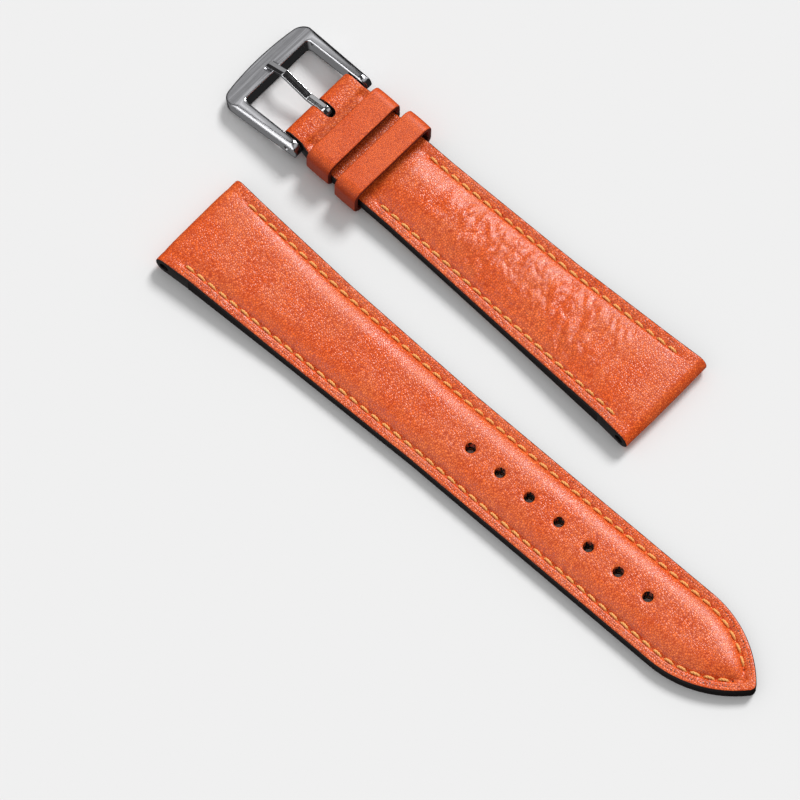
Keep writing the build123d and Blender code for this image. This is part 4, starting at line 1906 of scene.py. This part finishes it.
@dataclass(frozen=True)
class ThreadFinish:
    """Waxed thread."""

    name: str
    colour: Colour
    dark: Colour
    roughness: float = 0.55
    specular: float = 0.35
    fibre_scale: float = 9000.0
    fibre_depth: float = 0.02
    tone_span: tuple[float, float] = (0.35, 0.7)

    def build(self) -> bpy.types.Material:
        """Makes the material.

        Returns:
            The new material.
        """
        n = Nodes(self.name)
        fibre = n.noise(n.place(), self.fibre_scale, 2.0).outputs["Fac"]
        n.dress(
            Base_Color=n.mix(n.span(fibre, *self.tone_span), self.dark, self.colour),
            Normal=n.bump(fibre, self.fibre_depth).outputs["Normal"],
            Roughness=self.roughness,
            Specular_IOR_Level=self.specular,
        )
        return n.material


@dataclass(frozen=True)
class LayerFinish:
    """A plain layer, such as lining leather or bonded fibre, with painted edges."""

    name: str
    colour: Colour
    paint: Colour = EDGE_PAINT
    dark_share: float = 0.72
    roughness: float = 0.75
    specular: float = 0.3
    nap_scale: float = 2600.0
    nap_depth: float = 0.03
    tone_span: tuple[float, float] = (0.3, 0.7)
    paint_span: tuple[float, float] = (0.45, 0.6)

    def build(self) -> bpy.types.Material:
        """Makes the material.

        Returns:
            The new material.
        """
        n = Nodes(self.name)
        nap = n.noise(n.place(), self.nap_scale, 4.0).outputs["Fac"]
        darker = tuple(c * self.dark_share for c in self.colour)
        tone = n.mix(n.span(nap, *self.tone_span), darker, self.colour)
        mask = n.new("ShaderNodeAttribute", attribute_name="paint").outputs["Fac"]
        n.dress(
            Base_Color=n.mix(n.span(mask, *self.paint_span), tone, self.paint),
            Normal=n.bump(nap, self.nap_depth).outputs["Normal"],
            Roughness=self.roughness,
            Specular_IOR_Level=self.specular,
        )
        return n.material


@dataclass(frozen=True)
class SteelFinish:
    """Polished or turned steel, with a shading that leans along one edge where it has a crown."""

    name: str
    colour: Colour
    roughness: float
    streaks: float = 0.07
    soft_edge: float = 0.6
    crown: tuple[float, float] = (0.0, 0.0)
    haze_scale: float = 700.0
    haze_span: tuple[float, float] = (0.3, 0.7)
    haze_shares: tuple[float, float] = (0.8, 1.25)
    streak_scale: tuple[float, float, float] = (640.0, 38.0, 640.0)
    streak_span: tuple[float, float] = (-0.2, -0.4)
    crown_fade: tuple[float, float] = (0.06, -0.1)

    def leaning(self, n: Nodes, where: Socket, normal: Socket) -> Socket:
        """A normal that leans away on one side of the crown's middle.

        Args:
            n: The material's nodes.
            where: Points in the object's own frame.
            normal: The plain normal.

        Returns:
            The leaning normal.
        """
        middle, lean = self.crown
        place = n.new("ShaderNodeSeparateXYZ")
        n.feed(place.inputs[0], where)
        tilt = n.new("ShaderNodeCombineXYZ")
        start, end = (middle + reach * MM for reach in self.crown_fade)
        near = n.span(place.outputs["Y"], start, end, 0.0, -lean)
        n.feed(tilt.inputs["Y"], near)
        return n.vector("NORMALIZE", n.vector("ADD", normal, tilt.outputs[0]))

    def build(self) -> bpy.types.Material:
        """Makes the material.

        Returns:
            The new material.
        """
        n = Nodes(self.name)
        where = n.place()
        least, most = (self.roughness * share for share in self.haze_shares)
        haze = n.noise(where, self.haze_scale, 3.0).outputs["Fac"]
        stretch = n.new("ShaderNodeMapping")
        n.feed(stretch.inputs["Scale"], self.streak_scale)
        n.feed(stretch.inputs["Vector"], where)
        streak = n.noise(stretch.outputs["Vector"], 1.0, 2.0).outputs["Fac"]
        sloping = n.span(n.facing("X"), *self.streak_span)
        bump = n.bump(n.math("MULTIPLY", streak, sloping), self.streaks)
        soft = n.new("ShaderNodeBevel", samples=8)
        n.feed(soft.inputs["Radius"], self.soft_edge * MM)
        n.feed(bump.inputs["Normal"], soft.outputs["Normal"])
        normal = bump.outputs["Normal"]
        n.dress(
            Base_Color=self.colour,
            Metallic=1.0,
            Normal=self.leaning(n, where, normal) if self.crown[1] else normal,
            Roughness=n.span(haze, *self.haze_span, least, most),
        )
        return n.material


class Finish(Enum):
    """The finishes of the strap."""

    ORANGE = LeatherFinish(
        "orange_leather", (1.0, 0.152, 0.020), (1.0, 0.205, 0.044), (0.46, 0.038, 0.006)
    )
    KEEPER = LeatherFinish(
        "keeper_leather", (0.90, 0.126, 0.013), (0.97, 0.158, 0.022), (0.40, 0.036, 0.005),
        # This dark colour is the keepers' edge paint and also their painted shade inside the loop.
        paint=(0.16, 0.018, 0.006), grain=0.00029, grain_depth=0.013, mottle=0.24, roughness=0.40,
        # The keepers get painted shade on their steep sides.
        specular=0.32, flank=0.78,
    )
    LINING = LayerFinish("lining_leather", (0.50, 0.24, 0.11))
    CORE = LayerFinish("bonded_core", (0.09, 0.06, 0.04))
    THREAD = ThreadFinish("linen_thread", (1.0, 0.56, 0.20), (0.90, 0.36, 0.09))
    POLISHED = SteelFinish("polished_steel", (0.76, 0.76, 0.79), 0.13)
    TONGUE = SteelFinish(
        "tongue_steel", (0.80, 0.80, 0.82), 0.13, streaks=0.0, soft_edge=0.1,
        crown=(joint("tongue_lift")["pos_m"][1], 0.3),
    )
    BAR = SteelFinish("bar_steel", (0.55, 0.55, 0.57), 0.28)
    SPRING = SteelFinish("spring_steel", (0.45, 0.45, 0.47), 0.35)

    @cache
    def material(self) -> bpy.types.Material:
        """The finish's material, made once."""
        return self.value.build()


# Assemblies


@dataclass
class Half:
    """One half of the strap with its layers and thread."""

    prefix: str
    body: str
    form: HalfForm
    place: Placement
    seed: int
    folded: bool = False
    flap_gap: float = 0.02

    def make(self) -> None:
        """Makes the half's pieces and ties them to their CAD nodes."""
        form, place, s, p = self.form, self.place, self.form.sizes, self.prefix
        stop = s.flap_x - self.flap_gap if self.folded else form.length + 1
        core_layer = Slab(f"{p}_core_layer", form, place, stop)
        lining_layer = Slab(f"{p}_lining_layer", form, place, stop)
        top = TopLeather(f"{p}_top", form, place, self.folded).make(Finish.ORANGE.material())
        core = core_layer.make(Finish.CORE.material(), s.lining, None)
        lining = lining_layer.make(Finish.LINING.material(), 0.0, s.lining)
        thread = Stitching(f"{p}_thread", form, place, self.seed).make(Finish.THREAD.material())
        for piece, slot, nodes in (
            (top, "orange_leather", (f"{p}_top_leather", f"{p}_padding")),
            (core, "bonded_core", (f"{p}_core",)),
            (lining, "lining_leather", (f"{p}_lining",)),
            (thread, "linen_thread", (f"{p}_stitching",)),
        ):
            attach(piece, self.body)
            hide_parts(*nodes)


@dataclass
class Keepers:
    """The fixed and the free keeper."""

    sizes: StrapSizes
    place: Placement

    def make(self) -> None:
        """Makes both loops."""
        s = self.sizes
        common = {"place": self.place, "wall": s.keeper_wall, "corner": s.keeper_corner}
        fixed = Keeper(
            "fixed_loop", x=s.fixed_keeper_x, length=s.fixed_length, height=s.fixed_height,
            inner_width=s.end_width + 2 * s.fixed_play, play=s.fixed_play, seed=1.0, **common,
        ).make(Finish.KEEPER.material())
        free = Keeper(
            "free_loop", x=s.free_keeper_x, length=s.free_length, height=s.free_height,
            inner_width=s.free_inner_width, play=s.free_play, seed=2.0, **common,
        ).make(Finish.KEEPER.material())
        for piece, body, node in (
            (fixed, "short_half", "fixed_keeper"),
            (free, "sliding_keeper", "free_keeper"),
        ):
            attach(piece, body)
            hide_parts(node)


@dataclass
class Buckle:
    """Frame, tongue and spring bar."""

    frame_round: float = 0.2
    tongue_round: float = 0.03

    def make(self) -> None:
        """Rounds the polished pieces' edges and gives the spring bar its finish."""
        ring = RoundedCopy("buckle_frame", "frame_polished", self.frame_round)
        tongue = RoundedCopy("buckle_tongue", "tongue_polished", self.tongue_round)
        for copy, finish, body in (
            (ring, Finish.POLISHED, "buckle"),
            (tongue, Finish.TONGUE, "tongue"),
        ):
            piece = copy.make(finish.material())
            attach(piece, body)
            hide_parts(copy.node)
        for node, finish in (
            ("bar_barrel", Finish.BAR),
            ("bar_pin_right", Finish.BAR),
            ("bar_pin_left", Finish.BAR),
            ("bar_spring", Finish.SPRING),
        ):
            cad = frame["nodes"][node]
            cad.data.materials.clear()
            cad.data.materials.append(finish.material())
            LOG.info("%s: kept as it is, with the finish %s", node, finish.value.name)


# Studio


def direction(elevation: float, azimuth: float) -> Vector:
    """A direction by its degrees over the floor and round from +X."""
    up, round_x = math.radians(elevation), math.radians(azimuth)
    return Vector((math.cos(round_x) * math.cos(up), math.sin(round_x) * math.cos(up), math.sin(up)))


@dataclass(frozen=True)
class Card:
    """A card of the studio that only mirrored rays see, by its direction and its degrees."""

    towards: tuple[float, float, float]
    radius: float
    light: float


@dataclass(frozen=True)
class Studio:
    """Floor, light and camera of the photograph."""

    elevation: float = 66.58
    azimuth: float = 43.19
    distance: float = 1.2
    scale: float = 6.0042
    target: tuple[float, float] = (-8.931, -14.398)
    photo_width: int = 800
    sensor_width: float = 36.0
    farthest: float = 20.0
    floor_colour: float = 0.80
    floor_reach: float = 2.0
    floor_drop: float = 0.01
    sky: float = 0.56
    sky_slope: float = 1.5
    horizon: float = 0.25
    room: float = 0.02
    sun: float = 2.31
    sun_elevation: float = 46.0
    sun_azimuth: float = 101.0
    sun_size: float = 20.0
    card_fade: tuple[float, float] = (1.35, 0.65)
    cards: tuple[Card, ...] = (
        Card((-0.86, 0.29, 0.42), 17.0, 0.26),
        Card((-0.79, 0.29, 0.54), 8.0, 0.34),
        Card((-0.62, 0.29, 0.73), 9.0, 0.45),
        Card((-0.27, -0.26, 0.93), 9.0, 1.7),
        Card((-0.27, -0.90, 0.30), 16.0, 1.5),
        Card((-0.40, -0.47, 0.79), 14.0, 2.2),
        Card((0.05, -0.75, 0.62), 16.0, 1.8),
        Card((0.48, 0.29, 0.83), 17.0, 0.45),
        Card((-0.27, -0.70, -0.35), 50.0, 0.19),
        Card((0.0, 0.85, 0.50), 22.0, 1.2),
    )

    def floor(self) -> None:
        """A wide pale floor, which mirroring surfaces don't show."""
        n = Nodes("floor_paper")
        n.dress(Base_Color=(self.floor_colour,) * 3, Roughness=1.0, Specular_IOR_Level=0.0)
        either = n.new("ShaderNodeMixShader")
        n.feed(either.inputs[0], n.new("ShaderNodeLightPath").outputs["Is Glossy Ray"])
        n.feed(either.inputs[1], n.shader.outputs[0])
        n.feed(either.inputs[2], n.new("ShaderNodeBsdfTransparent").outputs[0])
        n.feed(n.tree.nodes["Material Output"].inputs["Surface"], either.outputs[0])
        mesh = bpy.data.meshes.new("floor")
        far = self.floor_reach
        corners = [(-far, -far, 0), (far, -far, 0), (far, far, 0), (-far, far, 0)]
        mesh.from_pydata(corners, [], [(0, 1, 2, 3)])
        mesh.materials.append(n.material)
        floor = bpy.data.objects.new("floor", mesh)
        floor.location.z = -self.floor_drop * MM
        bpy.context.scene.collection.objects.link(floor)

    def sky_light(self) -> None:
        """Even light for matt surfaces, and a dark room with cards for what mirrors."""
        world = bpy.data.worlds.new("studio")
        world.use_nodes = True
        n = Tree(world.node_tree)
        where = n.new("ShaderNodeTexCoord").outputs["Generated"]
        total = self.room
        for card in self.cards:
            facing = n.new("ShaderNodeVectorMath", operation="DOT_PRODUCT")
            n.feed(facing.inputs[0], where)
            n.feed(facing.inputs[1], tuple(Vector(card.towards).normalized()))
            rim, core = (math.cos(math.radians(card.radius * share)) for share in self.card_fade)
            lit = n.span(facing.outputs["Value"], rim, core, 0.0, card.light)
            total = n.math("ADD", lit, total)
        upward = n.new("ShaderNodeSeparateXYZ")
        n.feed(upward.inputs[0], where)
        slope = self.sky * self.sky_slope * (1 - self.horizon)
        sky = n.math("MULTIPLY_ADD", upward.outputs["Z"], slope, self.sky * self.horizon)
        glossy = n.new("ShaderNodeLightPath").outputs["Is Glossy Ray"]
        n.feed(n.tree.nodes["Background"].inputs[0], n.mix(glossy, sky, total))
        bpy.context.scene.world = world

    def sun_light(self) -> None:
        """One soft key light."""
        light = bpy.data.lights.new("key", "SUN")
        light.energy = self.sun
        light.angle = math.radians(self.sun_size)
        key = bpy.data.objects.new("key", light)
        to_light = direction(self.sun_elevation, self.sun_azimuth)
        key.rotation_euler = to_light.to_track_quat("Z", "Y").to_euler()
        bpy.context.scene.collection.objects.link(key)

    def camera(self) -> None:
        """The camera that the photograph was fitted with."""
        back, right = direction(self.elevation, self.azimuth - 90), direction(0, self.azimuth)
        data = bpy.data.cameras.new("photo")
        data.sensor_width = self.sensor_width
        data.lens = self.scale * self.distance / MM * self.sensor_width / self.photo_width
        data.clip_end = self.farthest
        camera = bpy.data.objects.new("photo", data)
        camera.location = Vector((*self.target, 0)) * MM + back * self.distance
        camera.rotation_euler = Matrix((right, back.cross(right), back)).transposed().to_euler()
        bpy.context.scene.collection.objects.link(camera)
        bpy.context.scene.camera = camera

    def make(self) -> None:
        """Sets up the whole studio."""
        self.floor()
        self.sky_light()
        self.sun_light()
        self.camera()
        bpy.context.scene.view_settings.view_transform = "Standard"


def forms(sizes: StrapSizes) -> tuple[TailForm, ShortForm]:
    """The two halves' forms, from the driving dimensions.

    Args:
        sizes: The strap's driving dimensions.

    Returns:
        The tail half's form and the short half's.
    """
    s = sizes
    plan = [(0.0, s.lug_width), (s.shoulder_x, s.shoulder_width)]
    plan += [(s.waist_x, s.waist_width), (s.taper_x, s.end_width)]
    rims = [(0.0, s.lug_thickness), (s.shoulder_x, s.lug_thickness), (s.waist_x, s.rim)]
    rises = [(0.0, s.end_rise), (s.shoulder_x, s.lug_rise), (s.waist_x, s.padding_rise)]
    first = s.tail_length - s.last_hole_setback - s.hole_pitch * (s.hole_count - 1)
    holes = [(first + i * s.hole_pitch, 0.0, s.hole_radius) for i in range(s.hole_count)]
    end = [(s.tail_length, s.end_width)]
    tail = TailForm(s, s.tail_length, plan + end, rims, rises, holes=holes, seed=3.0)
    fixed_end, fold = s.fixed_keeper_x + s.fixed_length, s.short_length - s.fold_setback
    fade, pad = s.short_length - s.pad_fade_setback, s.short_length - s.pad_end_setback
    plan += [(s.flap_x, s.end_width), (fixed_end, s.end_width)]
    plan += [(fold, s.fold_width), (s.short_length, s.fold_width)]
    rims = rims + [(fade, s.rim), (fixed_end, s.under_keeper)]
    rims += [(fold, s.fold_thickness), (s.short_length, s.fold_thickness)]
    rises = rises + [(pad, s.padding_rise), (fade, s.end_rise), (fixed_end, 0.0)]
    short = ShortForm(s, s.fold_centre, plan, rims, rises, seam_end=pad, seed=17.0, fullness=1.7)
    return tail, short


def main() -> None:
    """Makes every piece of the strap and the studio round it."""
    logging.basicConfig(level=logging.INFO, format="%(name)s: %(message)s")
    sizes = StrapSizes()
    tail_form, short_form = forms(sizes)
    short_place = short_placement(sizes)
    Half("tail", "tail_half", tail_form, tail_placement(sizes), seed=7).make()
    Half("short", "short_half", short_form, short_place, seed=11, folded=True).make()
    Keepers(sizes, short_place).make()
    Buckle().make()
    Studio().make()


if __name__ == "__main__":
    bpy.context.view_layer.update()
    main()
